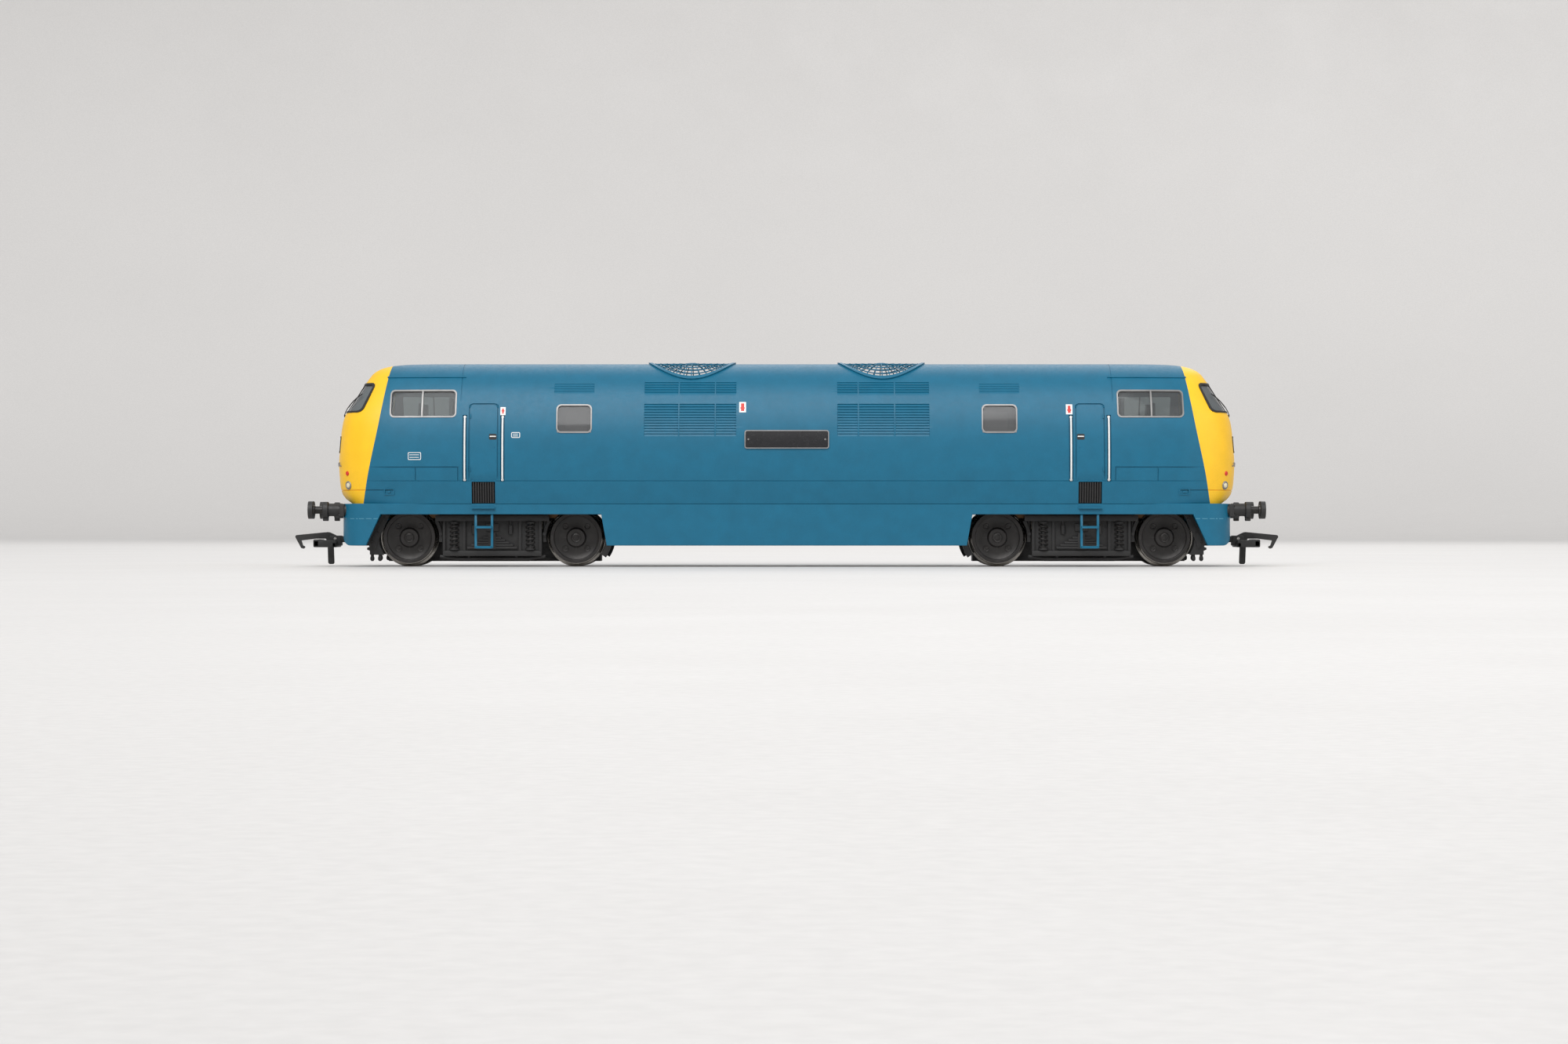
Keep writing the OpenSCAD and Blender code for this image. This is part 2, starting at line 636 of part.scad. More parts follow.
module bogie_keeper() color(black) difference() {
    union() {
        translate([-casing_x, -casing_half, 1.3]) cube([2 * casing_x, 2 * casing_half, casing_z - 1.3]);
        // Fingers that hold the axles up in their slots.
        for (s = [-1, 1]) both_sides() translate([s * axle_x - 0.9, cavity_half + 0.1, 1.5])
            cube([1.8, 1.3, axle_z - axle_r - run - 1.5]);
        translate([-9, -5.6, 1.3]) cube([18, 11.2, 0.7]);
    }
    translate([-3.6, -cavity_half, 1]) cube([7.2, 2 * cavity_half, 3]);
}

wheel_clear = tread_r + flange + 0.3;
function rim(angle) = [axle_x + wheel_clear * cos(angle), axle_z + wheel_clear * sin(angle)];

// Outline of a guard iron and sand pipes, curved round the wheel behind it.
guard_edge = [
    [25.2, 13.7], [27.1, 13.7], [30.7, 6.9], [30.7, 5.4], [30.2, 4.4], [30.2, 1.3], [29.2, 1.3],
    [29.2, 3.2], [28.6, 3.2], [28.6, 1.3], [27.6, 1.3], [27.5, 3]
];

// Cosmetic side mouldings: spring and damper panels between the wheels, guard irons ahead of them.
module bogie_sides() color(black) both_sides() {
    translate([0, 10.4, 0]) difference() {
        union() {
            translate([-12.4, 0, 9.4]) cube([24.8, 1.2, 3.2]);
            translate([-12.4, 0, 2.5]) cube([24.8, 0.8, 7.1]);
            for (i = [0:4]) translate([-8 + 1.2 * i, 0, 4.2 + 0.7 * i]) cube([16 - 2.4 * i, 1.7, 0.55]);
            for (s = [-1, 1]) translate([s * 9.4, 0.2, 3.6]) cylinder(r = 0.9, h = 6.5);
        }
        translate([-1.5, -1, 10.2]) cube([3, 4, 1.4]);
    }
    translate([0, 8.35, 0]) across_y(1.9) polygon(concat(guard_edge, [for (a = [-31:12:53]) rim(a)]));
}

module worm_cover() color(black) difference() {
    union() {
        translate([-6.6, -4.4, tower_z + 0.02]) cube([13.2, 8.8, 2.8]);
        both_sides() {
            translate([-6.6, 4.42, deck_z[1] + slack]) cube([13.2, 1.3, tower_z + 2.82 - deck_z[1] - slack]);
            translate([-4.5, 4.42, deck_z[1] + slack]) cube([9, 5.2, 1]);
        }
    }
    on_shaft(-3.6, worm_r + 0.75, 7.2);
}

// Spring strips that rub on the backs of the wheels, fixed to the casing by two tabs each.
module pickups() color("#c08850") both_sides() {
    translate([-axle_x - 3, 6.85, 12.2]) cube([2 * axle_x + 6, 0.25, 1]);
    for (x = [-14, 11.4]) translate([x, casing_half, 12.2]) cube([2.6, 3.8, 0.3]);
}

// Coupling bar: shank, cheeks that carry the hook, and the bumper loop in front of them.
module coupling_bar() color(black) translate([coupling_x, 0, 0]) {
    z0 = coupling_z[0] + slack;
    height = coupling_z[1] - coupling_z[0] - slack;
    difference() {
        union() {
            translate([0, 0, z0]) cylinder(r = 1.6, h = height);
            translate([0, -1.6, z0]) cube([5.8, 3.2, height]);
            translate([5.3, -1.8, 5.2]) cube([2.8, 3.6, 2.6]);
            translate([6, -5.5, 4.8]) cube([1.1, 11, 1.8]);
            translate([10.2, -5.5, 4.8]) cube([1.6, 11, 2]);
            both_sides() translate([6, 4.7, 4.8]) cube([5.4, 0.8, 1.8]);
        }
        cylinder(r = 0.8 + run, h = 20);
        translate([5.5, -0.7, 0]) cube([4.2, 1.4, 20]);
        translate([hook_pivot[0], 0, hook_pivot[1]]) rotate([90, 0, 0])
            cylinder(r = 0.4 + run, h = 5, center = true);
    }
}

// Hook: a long arm with a barbed nose, and the dropper that lifts it. It turns on a pin in the cheeks.
hook_arm = [
    [5.8, 6.2], [5.8, 7.4], [8.3, 8.65], [16.7, 7.8], [17, 7.3], [15.4, 4.6], [14.9, 4.4],
    [14.5, 4.8], [15.1, 5.2], [15.5, 6.5], [11.8, 6.95], [9.2, 6.95], [8.8, 6]
];
hook_dropper = [[8.6, 0.8], [8.3, 0.5], [7.4, 0.5], [7.1, 0.8], [7.3, 5.8]];
module coupling_hook() color(black) translate([coupling_x, 0, 0]) {
    across_y(1.2) polygon(concat(hook_arm, hook_dropper));
    translate([hook_pivot[0], 0, hook_pivot[1]]) rotate([90, 0, 0]) cylinder(r = 0.4, h = 3.6, center = true);
}

module bogie(end) rotate([0, 0, end == "a" ? 180 : 0]) translate([bogie_x, 0, 0]) children();

// ---------- assembly ----------

body_shell();
cab_glazing();
side_window_panes();
side_window_frames();
fan_grilles();
roof_fans();
handrails();
door_ladders();
nameplates();
lamp_lenses();
headcode_panels();
cab_interiors();
valance();
buffer_beams();
buffer_housings();
chassis_block();
underframe_tanks();
motor_case();
motor_end_caps();
circuit_board();
screws();
motor_shaft();
armature();
flywheels();
rotate([0, 0, 180]) cardan();  // cardan_a
cardan();  // cardan_b
for (end = ["a", "b"]) {
    buffer_head(end, 1);
    buffer_head(end, -1);
    bogie(end) bogie_frame();
    bogie(end) bogie_keeper();
    bogie(end) bogie_sides();
    bogie(end) worm_cover();
    bogie(end) pickups();
    bogie(end) worm();
    bogie(end) drive_gear();
    bogie(end) idler_gear(1);
    bogie(end) idler_gear(-1);
    bogie(end) wheels(1);
    bogie(end) wheels(-1);
    bogie(end) axle(1);
    bogie(end) axle(-1);
    bogie(end) coupling_bar();
    bogie(end) coupling_hook();
}
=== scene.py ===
"""Visual model of a 16.5 mm gauge twin-cab diesel locomotive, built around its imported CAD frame.

Shapes are worked out in millimetres in the CAD's frame (X along, Y across, Z up from the flange bottoms)
and turned into metres when a mesh is made.
"""

import math

import bmesh
import bpy
import numpy as np
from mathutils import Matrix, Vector


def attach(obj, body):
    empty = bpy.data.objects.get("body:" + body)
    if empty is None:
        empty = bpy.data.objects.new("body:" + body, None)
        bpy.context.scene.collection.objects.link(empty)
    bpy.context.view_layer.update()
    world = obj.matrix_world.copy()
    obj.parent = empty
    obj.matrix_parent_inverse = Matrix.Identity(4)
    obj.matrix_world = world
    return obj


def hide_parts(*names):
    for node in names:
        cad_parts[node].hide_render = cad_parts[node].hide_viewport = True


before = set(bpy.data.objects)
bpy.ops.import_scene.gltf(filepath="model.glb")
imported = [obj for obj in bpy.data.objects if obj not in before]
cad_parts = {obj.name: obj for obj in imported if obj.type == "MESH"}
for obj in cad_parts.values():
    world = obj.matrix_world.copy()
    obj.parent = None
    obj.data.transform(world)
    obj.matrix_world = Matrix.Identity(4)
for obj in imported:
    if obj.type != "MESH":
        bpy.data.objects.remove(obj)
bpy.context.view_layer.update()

MM = 0.001
BODY = "locomotive_body"
ENDS = (("a", -1), ("b", 1))
SIDES = (-1, 1)


# ---------------------------------------------------------------- body surface

HALF_W, WAIST_Z, BODY_Z, ROOF_Z = 17.4, 24.7, 15.8, 51.3
TUCK, TUCK_POWER = 1.1, 1.6             # how the side curves in below the waist
RISE_POWER, SPREAD_POWER = 2.6, 2.2     # superellipse of the section above the waist
NOSE_TIP, NOSE_DEPTH, NOSE_POWER = 113.5, 30.0, 3.0
APRON_X, APRON_DEPTH, APRON_POWER, APRON_HALF = 112.0, 16.0, 4.5, 16.2
APRON_Z, VALANCE_Z = 5.3, 13.1
CAB_X = 99.6            # last column of the side before the paint line
SCALED_FROM = 82.0      # beyond this the side's columns are drawn in to stay behind the paint line
PAINT_CLEAR = 0.6       # the side's last column stays this far behind the paint line
SHELL = 1.1             # wall thickness
UNDERCUT_Z = 25.7       # below this the front of the nose curves back in
CROWN_Z = 50.77         # the yellow reaches this height on the centre line
PAINT_LIMIT = 0.998     # greatest share of the nose's depth that the paint line may reach
PROBE = 0.02            # step for slopes of curved surfaces
EDGE_PROBE = 0.01       # and of plain outlines
INSIDE_X, INSIDE_Z = 90.0, 30.0     # a point within the cab, which surface normals point away from
ROOF_REACH = 17.0       # half width over which roof_point works


def smooth_curve(points):
    """Monotone cubic through (x, y) points, as a function of x."""
    xs, ys = np.array(points, float).T
    step = np.diff(xs)
    slope = np.diff(ys) / step
    grade = np.concatenate([[slope[0]], np.zeros(len(xs) - 2), [slope[-1]]])
    for i in range(1, len(xs) - 1):
        if slope[i - 1] * slope[i] > 0:
            grade[i] = 2 * slope[i - 1] * slope[i] / (slope[i - 1] + slope[i])

    def value(x):
        i = int(np.clip(np.searchsorted(xs, x) - 1, 0, len(xs) - 2))
        t = min(1.0, max(0.0, (x - xs[i]) / step[i]))
        return (ys[i] * (1 + 2 * t) * (1 - t) ** 2 + ys[i + 1] * t * t * (3 - 2 * t)
                + step[i] * (grade[i] * t * (1 - t) ** 2 - grade[i + 1] * t * t * (1 - t)))
    return value


# How far the nose is set back at each height.
nose_step = smooth_curve([
    (15.8, -4.2), (16.4, -3), (17.2, -1.8), (18.2, -1), (19.7, -0.5), (22, -0.2), (25.7, 0), (31, -0.3),
    (36, -0.9), (38, -1.5), (42.5, -4.2), (47.4, -7.4), (48.7, -8.4), (49.8, -10), (50.6, -12.4),
    (51.1, -16.4), (51.3, -23)])

# Where the yellow end begins, by height.
paint_x = smooth_curve([(15.8, 106.1), (22.3, 105.0), (37, 102.0), (49.9, 100.1), (51.3, 99.9)])


def section_half(z):
    """Half width of the plain body section at height z."""
    if z <= WAIST_Z:
        return HALF_W - TUCK * ((WAIST_Z - z) / (WAIST_Z - BODY_Z)) ** TUCK_POWER
    rise = min(1.0, (z - WAIST_Z) / (ROOF_Z - WAIST_Z))
    return HALF_W * (1 - rise ** RISE_POWER) ** (1 / SPREAD_POWER)


def section_z(half):
    """Height on the upper part of the section where its half width is given."""
    return WAIST_Z + (ROOF_Z - WAIST_Z) * (1 - (half / HALF_W) ** SPREAD_POWER) ** (1 / RISE_POWER)


def oval(t, power=NOSE_POWER):
    """Other coordinate of a quarter superellipse of unit size."""
    return (1 - min(1.0, max(0.0, t)) ** power) ** (1 / power)


def nose_start(z):
    """Distance from the centre at which the side begins to curve round into the nose."""
    return NOSE_TIP - NOSE_DEPTH + (nose_step(z) if z > UNDERCUT_Z else 0.0)


def paint_end(z):
    """The paint line, kept short of the tip of the outline at this height."""
    return min(paint_x(z), nose_start(z) + PAINT_LIMIT * NOSE_DEPTH)


def paint_share(z):
    """Share of the half width at which the paint line meets the outline."""
    return oval((paint_end(z) - nose_start(z)) / NOSE_DEPTH)


def side_xy(x, z):
    """Point of the body's outline at height z and distance x from the centre, on the +X, -Y quarter."""
    return x, -section_half(z) * oval((x - nose_start(z)) / NOSE_DEPTH)


def front_xy(across, z):
    """Point of the outline at a share of the half width; the undercut fades out towards the paint."""
    x = nose_start(z) + NOSE_DEPTH * oval(across)
    if z <= UNDERCUT_Z:
        x += nose_step(z) * max(0.0, 1 - (across / paint_share(z)) ** 2)
    return x, -section_half(z) * across


def unit(v):
    """Vector of unit length."""
    return v / max(1e-12, float(np.linalg.norm(v)))


def offset_point(xy, u, z, out):
    """Point xy(u, z) moved outwards along the surface normal."""
    here = np.array([*xy(u, z), z])
    along = np.array([*xy(u + PROBE, z), z]) - here
    up = np.array([*xy(u, z + PROBE), z + PROBE]) - here
    normal = unit(np.cross(along, up))
    inside_x = min(u, INSIDE_X) if xy is side_xy else INSIDE_X
    if normal @ (here - [inside_x, 0, INSIDE_Z]) < 0:
        normal = -normal
    return here + normal * out


def side_point(end, side):
    """Function (x, z, out) on one side of one end: x is measured from the centre."""
    def point(x, z, out=0.0):
        p = offset_point(side_xy, x, z, out)
        return np.array([end * p[0], -side * p[1], p[2]])
    return point


def near_point(x, z, out=0.0):
    """Point on the -Y side for any x."""
    return side_point(1 if x >= 0 else -1, -1)(abs(x), z, out)


def front_point(end):
    """Function (y, z, out) on the nose: y is across the locomotive."""
    def point(y, z, out=0.0):
        p = offset_point(front_xy, abs(y) / section_half(z), z, out)
        return np.array([end * p[0], math.copysign(p[1], y), p[2]])
    return point


def screen_point(end, side):
    """Function (q, z, out) on the nose: q is the share of the way from the centre line to the paint line."""
    def point(q, z, out=0.0):
        p = offset_point(front_xy, q * paint_share(z), z, out)
        return np.array([end * p[0], -side * p[1], p[2]])
    return point


def apron_point(end, side):
    """Function (x, z, out) on the skirt's outline."""
    def point(x, z, out=0.0):
        def outline(v):
            return APRON_HALF * oval((v - APRON_X + APRON_DEPTH) / APRON_DEPTH, APRON_POWER)
        slope = (outline(x + EDGE_PROBE) - outline(x)) / EDGE_PROBE
        n = unit(np.array([-slope, 1.0]))
        return np.array([end * (x + n[0] * out), side * (outline(x) + n[1] * out), z])
    return point


def roof_point(x, y, out=0.0):
    """Point of the plain roof above (x, y)."""
    z = section_z(min(abs(y), ROOF_REACH))
    slope = (section_z(min(abs(y) + EDGE_PROBE, ROOF_REACH)) - z) / EDGE_PROBE
    n = unit(np.array([-slope, 1.0]))
    return np.array([x, math.copysign(abs(y) + n[0] * out, y), z + n[1] * out])


# ---------------------------------------------------------------- mesh building

BEVEL = {"segments": 2, "affect": "EDGES", "profile": 0.6}
WELD_DIST, FLAT_DIST = 2e-6, 1e-6       # metres
CORE = 0.01     # radius on which turned solids close
UP, ALONG, ACROSS = (0, 0, 1), (1, 0, 0), (0, 1, 0)


def around(count):
    """Angles of a full turn in equal steps."""
    return [2 * math.pi * k / count for k in range(count)]


class Build:
    """Collects vertices (mm) and faces, each face with a material number."""

    def __init__(self):
        self.verts, self.faces, self.mats = [], [], []

    def add(self, verts, faces, mat=0):
        base = len(self.verts)
        self.verts += [tuple(float(c) for c in v) for v in verts]
        self.faces += [tuple(base + i for i in f) for f in faces]
        self.mats += [mat] * len(faces)

    def grid(self, points, mat=0, close_u=False, close_v=False):
        """points[u][v] as quads."""
        nu, nv = len(points), len(points[0])
        at = lambda i, j: (i % nu) * nv + (j % nv)
        faces = [(at(i, j), at(i + 1, j), at(i + 1, j + 1), at(i, j + 1))
                 for i in range(nu if close_u else nu - 1) for j in range(nv if close_v else nv - 1)]
        self.add([p for row in points for p in row], faces, mat)

    def slab(self, point, us, vs, near, far, mat=0):
        """Closed slab over a surface function point(u, v, out), between two offsets."""
        nu, nv = len(us), len(vs)
        verts = [point(u, v, o) for o in (far, near) for u in us for v in vs]
        at = lambda k, i, j: k * nu * nv + i * nv + j
        faces = []
        for i in range(nu - 1):
            for j in range(nv - 1):
                quad = [at(0, i, j), at(0, i + 1, j), at(0, i + 1, j + 1), at(0, i, j + 1)]
                faces += [tuple(quad), tuple(q + nu * nv for q in reversed(quad))]
        rim = ([(i, 0) for i in range(nu - 1)] + [(nu - 1, j) for j in range(nv - 1)]
               + [(i, nv - 1) for i in range(nu - 1, 0, -1)] + [(0, j) for j in range(nv - 1, 0, -1)])
        for k, (i, j) in enumerate(rim):
            m, n = rim[(k + 1) % len(rim)]
            faces.append((at(0, i, j), at(1, i, j), at(1, m, n), at(0, m, n)))
        self.add(verts, faces, mat)

    def band(self, point, outer, inner, near, far, mat=0):
        """Closed frame between two loops of (u, v), between two offsets."""
        rows = [[point(*p, far) for p in outer], [point(*p, far) for p in inner],
                [point(*p, near) for p in inner], [point(*p, near) for p in outer]]
        self.grid(rows, mat, close_u=True, close_v=True)

    def plate(self, point, loop, near, far, mat=0):
        """Closed plate inside a loop of (u, v): a fan about the loop's centre."""
        centre = np.mean(np.array(loop, float), axis=0)
        rings = [[point(*(centre + (np.array(p) - centre) * s), far) for p in loop] for s in (0.5, 1.0)]
        back = [[point(*(centre + (np.array(p) - centre) * s), near) for p in loop] for s in (1.0, 0.5)]
        self.grid(rings + back, mat, close_v=True)
        n = len(loop)
        for ring, out in ((rings[0], far), (back[1], near)):
            self.add([point(*centre, out)] + ring, [(0, 1 + i, 1 + (i + 1) % n) for i in range(n)], mat)

    def tube(self, path, radius, mat=0, sides=10, closed=False):
        """Round bar along a path of points."""
        path = [np.array(p, float) for p in path]
        count = len(path)
        rings, normal = [], None
        for i, p in enumerate(path):
            before = path[(i - 1) % count] if closed or i else path[0]
            after = path[(i + 1) % count] if closed or i < count - 1 else path[-1]
            t = unit(after - before)
            if normal is None:
                normal = unit(np.cross(t, UP if abs(t[2]) < 0.9 else ALONG))
            normal = unit(normal - t * float(normal @ t))
            other = np.cross(t, normal)
            rings.append([p + radius * (math.cos(a) * normal + math.sin(a) * other) for a in around(sides)])
        self.grid(rings, mat, close_u=closed, close_v=True)
        if not closed:
            for ring in (rings[0], rings[-1]):
                self.add(ring, [tuple(range(sides))], mat)

    def lathe(self, profile, origin, axis, mat=0, sides=48):
        """Turns (radius, distance along axis) points about an axis through origin."""
        axis = unit(np.array(axis, float))
        side = unit(np.cross(axis, UP if abs(axis[2]) < 0.9 else ALONG))
        other = np.cross(axis, side)
        origin = np.array(origin, float)
        rows = [[origin + axis * h + r * (math.cos(a) * side + math.sin(a) * other) for a in around(sides)]
                for r, h in profile]
        self.grid(rows, mat, close_v=True)

    def stud(self, profile, point, u, v, mat=0, sides=16):
        """Lathe standing on a surface function at (u, v), with distances along its normal."""
        foot = point(u, v, 0)
        self.lathe(profile, foot, point(u, v, 1) - foot, mat, sides)

    def box(self, low, high, bevel=0.08, mat=0):
        """Box between two corners, with its edges bevelled."""
        low, high = np.array(low, float), np.array(high, float)
        bm = bmesh.new()
        bmesh.ops.create_cube(bm, size=1)
        for v in bm.verts:
            v.co = Vector((low + high) / 2 + np.array(v.co) * (high - low))
        if bevel:
            bmesh.ops.bevel(bm, geom=bm.edges[:], offset=min(bevel, 0.4 * float((high - low).min())), **BEVEL)
        self.take(bm, mat)

    def prism(self, outline, place, near, far, bevel=0.08, mat=0):
        """Extrudes an outline of (a, b) points between two depths; place(a, b, depth) gives the point."""
        bm = bmesh.new()
        lower = [bm.verts.new(place(a, b, near)) for a, b in outline]
        upper = [bm.verts.new(place(a, b, far)) for a, b in outline]
        bm.faces.new(lower)
        bm.faces.new(list(reversed(upper)))
        n = len(outline)
        for i in range(n):
            bm.faces.new((lower[i], upper[i], upper[(i + 1) % n], lower[(i + 1) % n]))
        if bevel:
            sharp = [e for e in bm.edges if len(e.link_faces) == 2 and e.calc_face_angle(0) > 0.5]
            bmesh.ops.bevel(bm, geom=sharp, offset=bevel, clamp_overlap=True, **BEVEL)
        bmesh.ops.triangulate(bm, faces=[f for f in bm.faces if len(f.verts) > 4])
        self.take(bm, mat)

    def take(self, bm, mat):
        """Adds a bmesh and frees it."""
        bm.verts.index_update()
        self.add([v.co for v in bm.verts], [[v.index for v in f.verts] for f in bm.faces], mat)
        bm.free()

    def turn_half(self):
        """Turns everything half a turn about Z, which carries end B onto end A."""
        self.verts = [(-x, -y, z) for x, y, z in self.verts]

    def add_turned(self):
        """Adds a copy turned half a turn about Z."""
        n = len(self.verts)
        self.verts += [(-x, -y, z) for x, y, z in self.verts]
        self.faces += [tuple(i + n for i in f) for f in self.faces]
        self.mats += self.mats

    def add_mirrored(self):
        """Adds a copy mirrored across the centre plane y = 0."""
        n = len(self.verts)
        self.verts += [(x, -y, z) for x, y, z in self.verts]
        self.faces += [tuple(i + n for i in reversed(f)) for f in self.faces]
        self.mats += self.mats

    def make(self, name, body, materials, replaces=(), sharp=35.0, slot=None):
        """Turns the collected faces into a piece that rides a body, smooth except at sharp edges."""
        mesh = bpy.data.meshes.new(name)
        mesh.from_pydata([[c * MM for c in v] for v in self.verts], [], self.faces)
        for m in materials:
            mesh.materials.append(m)
        bm = bmesh.new()
        bm.from_mesh(mesh)
        for f, m in zip(bm.faces, self.mats):
            f.material_index = m
            f.smooth = True
        bmesh.ops.remove_doubles(bm, verts=bm.verts, dist=WELD_DIST)
        bmesh.ops.dissolve_degenerate(bm, edges=bm.edges, dist=FLAT_DIST)
        bmesh.ops.recalc_face_normals(bm, faces=bm.faces)
        limit = math.radians(sharp)
        for e in bm.edges:
            if len(e.link_faces) == 2:
                e.smooth = e.calc_face_angle(0) < limit
        bm.to_mesh(mesh)
        bm.free()
        obj = bpy.data.objects.new(name, mesh)
        bpy.context.scene.collection.objects.link(obj)
        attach(obj, body)
        if replaces:
            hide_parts(*replaces)
        return obj


def rounded(u0, u1, v0, v1, radius, across=None, steps=5, straight=5):
    """Loop of points round a rectangle with rounded corners; across is the corner's size along u."""
    ru = radius if across is None else across
    corners = ((u1 - ru, v1 - radius, 0), (u0 + ru, v1 - radius, 90), (u0 + ru, v0 + radius, 180),
               (u1 - ru, v0 + radius, 270))
    arcs = []
    for cu, cv, start in corners:
        turn = [math.radians(start + 90 * k / steps) for k in range(steps + 1)]
        arcs.append([(cu + ru * math.cos(a), cv + radius * math.sin(a)) for a in turn])
    loop = []
    for k, arc in enumerate(arcs):
        p, q = arc[-1], arcs[(k + 1) % 4][0]
        loop += arc + [(p[0] + (q[0] - p[0]) * i / straight, p[1] + (q[1] - p[1]) * i / straight)
                       for i in range(1, straight)]
    return loop


def spaced(a, b, step):
    """Values from a to b, about a step apart."""
    n = max(1, round(abs(b - a) / step))
    return [a + (b - a) * k / n for k in range(n + 1)]


# ---------------------------------------------------------------- materials

GRAIN_HEIGHT = 0.00004      # metres


class Finish:
    """Node tree of one material, with its shader and object coordinates."""

    def __init__(self, name):
        self.material = bpy.data.materials.new(name)
        self.material.use_nodes = True
        self.nodes, self.link = self.material.node_tree.nodes, self.material.node_tree.links.new
        self.shader = self.nodes["Principled BSDF"]
        self.coords = self.nodes.new("ShaderNodeTexCoord").outputs["Object"]

    def node(self, kind, **values):
        """New node; an underscore in a value's name stands for a space in the input's name."""
        node = self.nodes.new("ShaderNode" + kind)
        set_inputs(node, **values)
        return node

    def noise(self, coords, scale, detail, rough=0.55):
        n = self.node("TexNoise", Scale=scale, Detail=detail, Roughness=rough)
        self.link(coords, n.inputs["Vector"])
        return n.outputs["Fac"]

    def span(self, value, low, high, from_low=0.3, from_high=0.7):
        """Maps a value's range onto low to high."""
        r = self.node("MapRange", From_Min=from_low, From_Max=from_high, To_Min=low, To_Max=high)
        self.link(value, r.inputs["Value"])
        return r.outputs["Result"]

    def blend(self, factor, first, second):
        """Mix of two colours, each a tuple or another node's output."""
        mix = self.node("Mix")
        mix.data_type = "RGBA"
        self.link(factor, mix.inputs[0])
        for socket, value in ((mix.inputs[6], first), (mix.inputs[7], second)):
            if isinstance(value, tuple):
                socket.default_value = (*value, 1)
            else:
                self.link(value, socket)
        return mix.outputs[2]


def set_inputs(node, **values):
    """Sets a node's inputs by name."""
    for name, value in values.items():
        node.inputs[name.replace("_", " ")].default_value = value


def scaled(colour, factor):
    """Colour made lighter or darker."""
    return tuple(min(1.0, c * factor) for c in colour)


def surface(name, colour, rough=0.4, metal=0.0, grain=4000, bump=0.15, patch=260, vary=0.12, coat=0.0,
            painted_edge_light=0.0, stretch=None, shine=0.5):
    """Procedural finish: fine grain, slow drift in colour and roughness, and optionally sharp edges made
    lighter, a painted highlight.
    """
    f = Finish(name)
    fine = f.coords
    if stretch:
        mapping = f.node("Mapping", Scale=stretch)
        f.link(f.coords, mapping.inputs["Vector"])
        fine = mapping.outputs["Vector"]
    slow = f.noise(f.coords, patch, 5)
    base = f.blend(f.span(slow, 0, 1), scaled(colour, 1 - vary), scaled(colour, 1 + vary))
    grain_height = f.noise(fine, grain, 2)
    base = f.blend(f.span(grain_height, 0, 0.22), base, scaled(colour, 0.72))
    # Painted highlight: convex edges are made lighter by their pointiness, standing in for light catching
    # them.
    if painted_edge_light:
        edge = f.span(f.node("NewGeometry").outputs["Pointiness"], 0, painted_edge_light, 0.52, 0.6)
        base = f.blend(edge, base, scaled(colour, 1.9))
    f.link(base, f.shader.inputs["Base Color"])
    mottled = f.noise(f.coords, patch * 5, 6, 0.7)
    f.link(f.span(mottled, rough * 0.82, rough * 1.2), f.shader.inputs["Roughness"])
    set_inputs(f.shader, Metallic=metal, Specular_IOR_Level=shine, Coat_Weight=coat, Coat_Roughness=0.25)
    raised = f.node("Bump", Strength=bump, Distance=GRAIN_HEIGHT)
    f.link(grain_height, raised.inputs["Height"])
    f.link(raised.outputs["Normal"], f.shader.inputs["Normal"])
    return f.material


def glass_finish(name, tint, tone=0.25, smear=600):
    """Thin clear moulding: mostly see-through, with a mirror-like sheen that grows at grazing angles."""
    f = Finish(name)
    clear = f.node("BsdfTransparent", Color=(*tint, 1))
    f.link(f.span(f.noise(f.coords, smear, 3), 0.03, 0.12), f.shader.inputs["Roughness"])
    set_inputs(f.shader, Base_Color=(0.35, 0.36, 0.37, 1), Specular_IOR_Level=0.9)
    facing = f.node("LayerWeight", Blend=tone)
    add = f.node("Math")
    add.operation = "ADD"
    add.use_clamp = True
    f.link(facing.outputs["Fresnel"], add.inputs[0])
    add.inputs[1].default_value = tone * 0.55
    mix = f.node("MixShader")
    for socket, source in enumerate((add, clear, f.shader)):
        f.link(source.outputs[0], mix.inputs[socket])
    f.link(mix.outputs[0], f.nodes["Material Output"].inputs["Surface"])
    return f.material


BLUE = surface("rail_blue_satin_paint", (0.004, 0.122, 0.215), 0.46, bump=0.12, vary=0.07, coat=0.04,
               shine=0.35)
YELLOW = surface("warning_end_yellow_paint", (0.93, 0.53, 0.008), 0.46, bump=0.12, vary=0.04, coat=0.08)
BLACK = surface("matt_black_moulding", (0.013, 0.0125, 0.0125), 0.55, bump=0.25, vary=0.2, painted_edge_light=0.35)
GLOSS_BLACK = surface("gloss_black_printed_plate", (0.012, 0.012, 0.014), 0.25, bump=0.05, vary=0.1, coat=0.3)
DARK = surface("shadow_black_recess", (0.006, 0.006, 0.007), 0.7, bump=0.2, vary=0.3)
DARK_METAL = surface("blackened_metal", (0.03, 0.028, 0.027), 0.42, metal=0.6, bump=0.2, vary=0.3, painted_edge_light=0.5)
WHITE = surface("white_enamel", (0.82, 0.82, 0.80), 0.4, bump=0.08, vary=0.04)
SILVER = surface("silver_printed_trim", (0.27, 0.265, 0.26), 0.38, metal=0.45, bump=0.08, vary=0.1)
STEEL = surface("bright_turned_steel", (0.55, 0.54, 0.52), 0.24, metal=1.0, bump=0.1, vary=0.12,
                stretch=(1, 9, 1))
TREAD = surface("polished_wheel_tread", (0.42, 0.40, 0.37), 0.24, metal=1.0, bump=0.12, vary=0.15)
BRASS = surface("turned_brass", (0.72, 0.48, 0.17), 0.27, metal=1.0, bump=0.12, vary=0.1, stretch=(6, 1, 1))
CAST = surface("blackened_die_casting", (0.07, 0.07, 0.072), 0.5, metal=0.75, grain=2600, bump=0.35, vary=0.2)
GREY = surface("grey_cab_moulding", (0.16, 0.18, 0.19), 0.5, bump=0.2, vary=0.1)
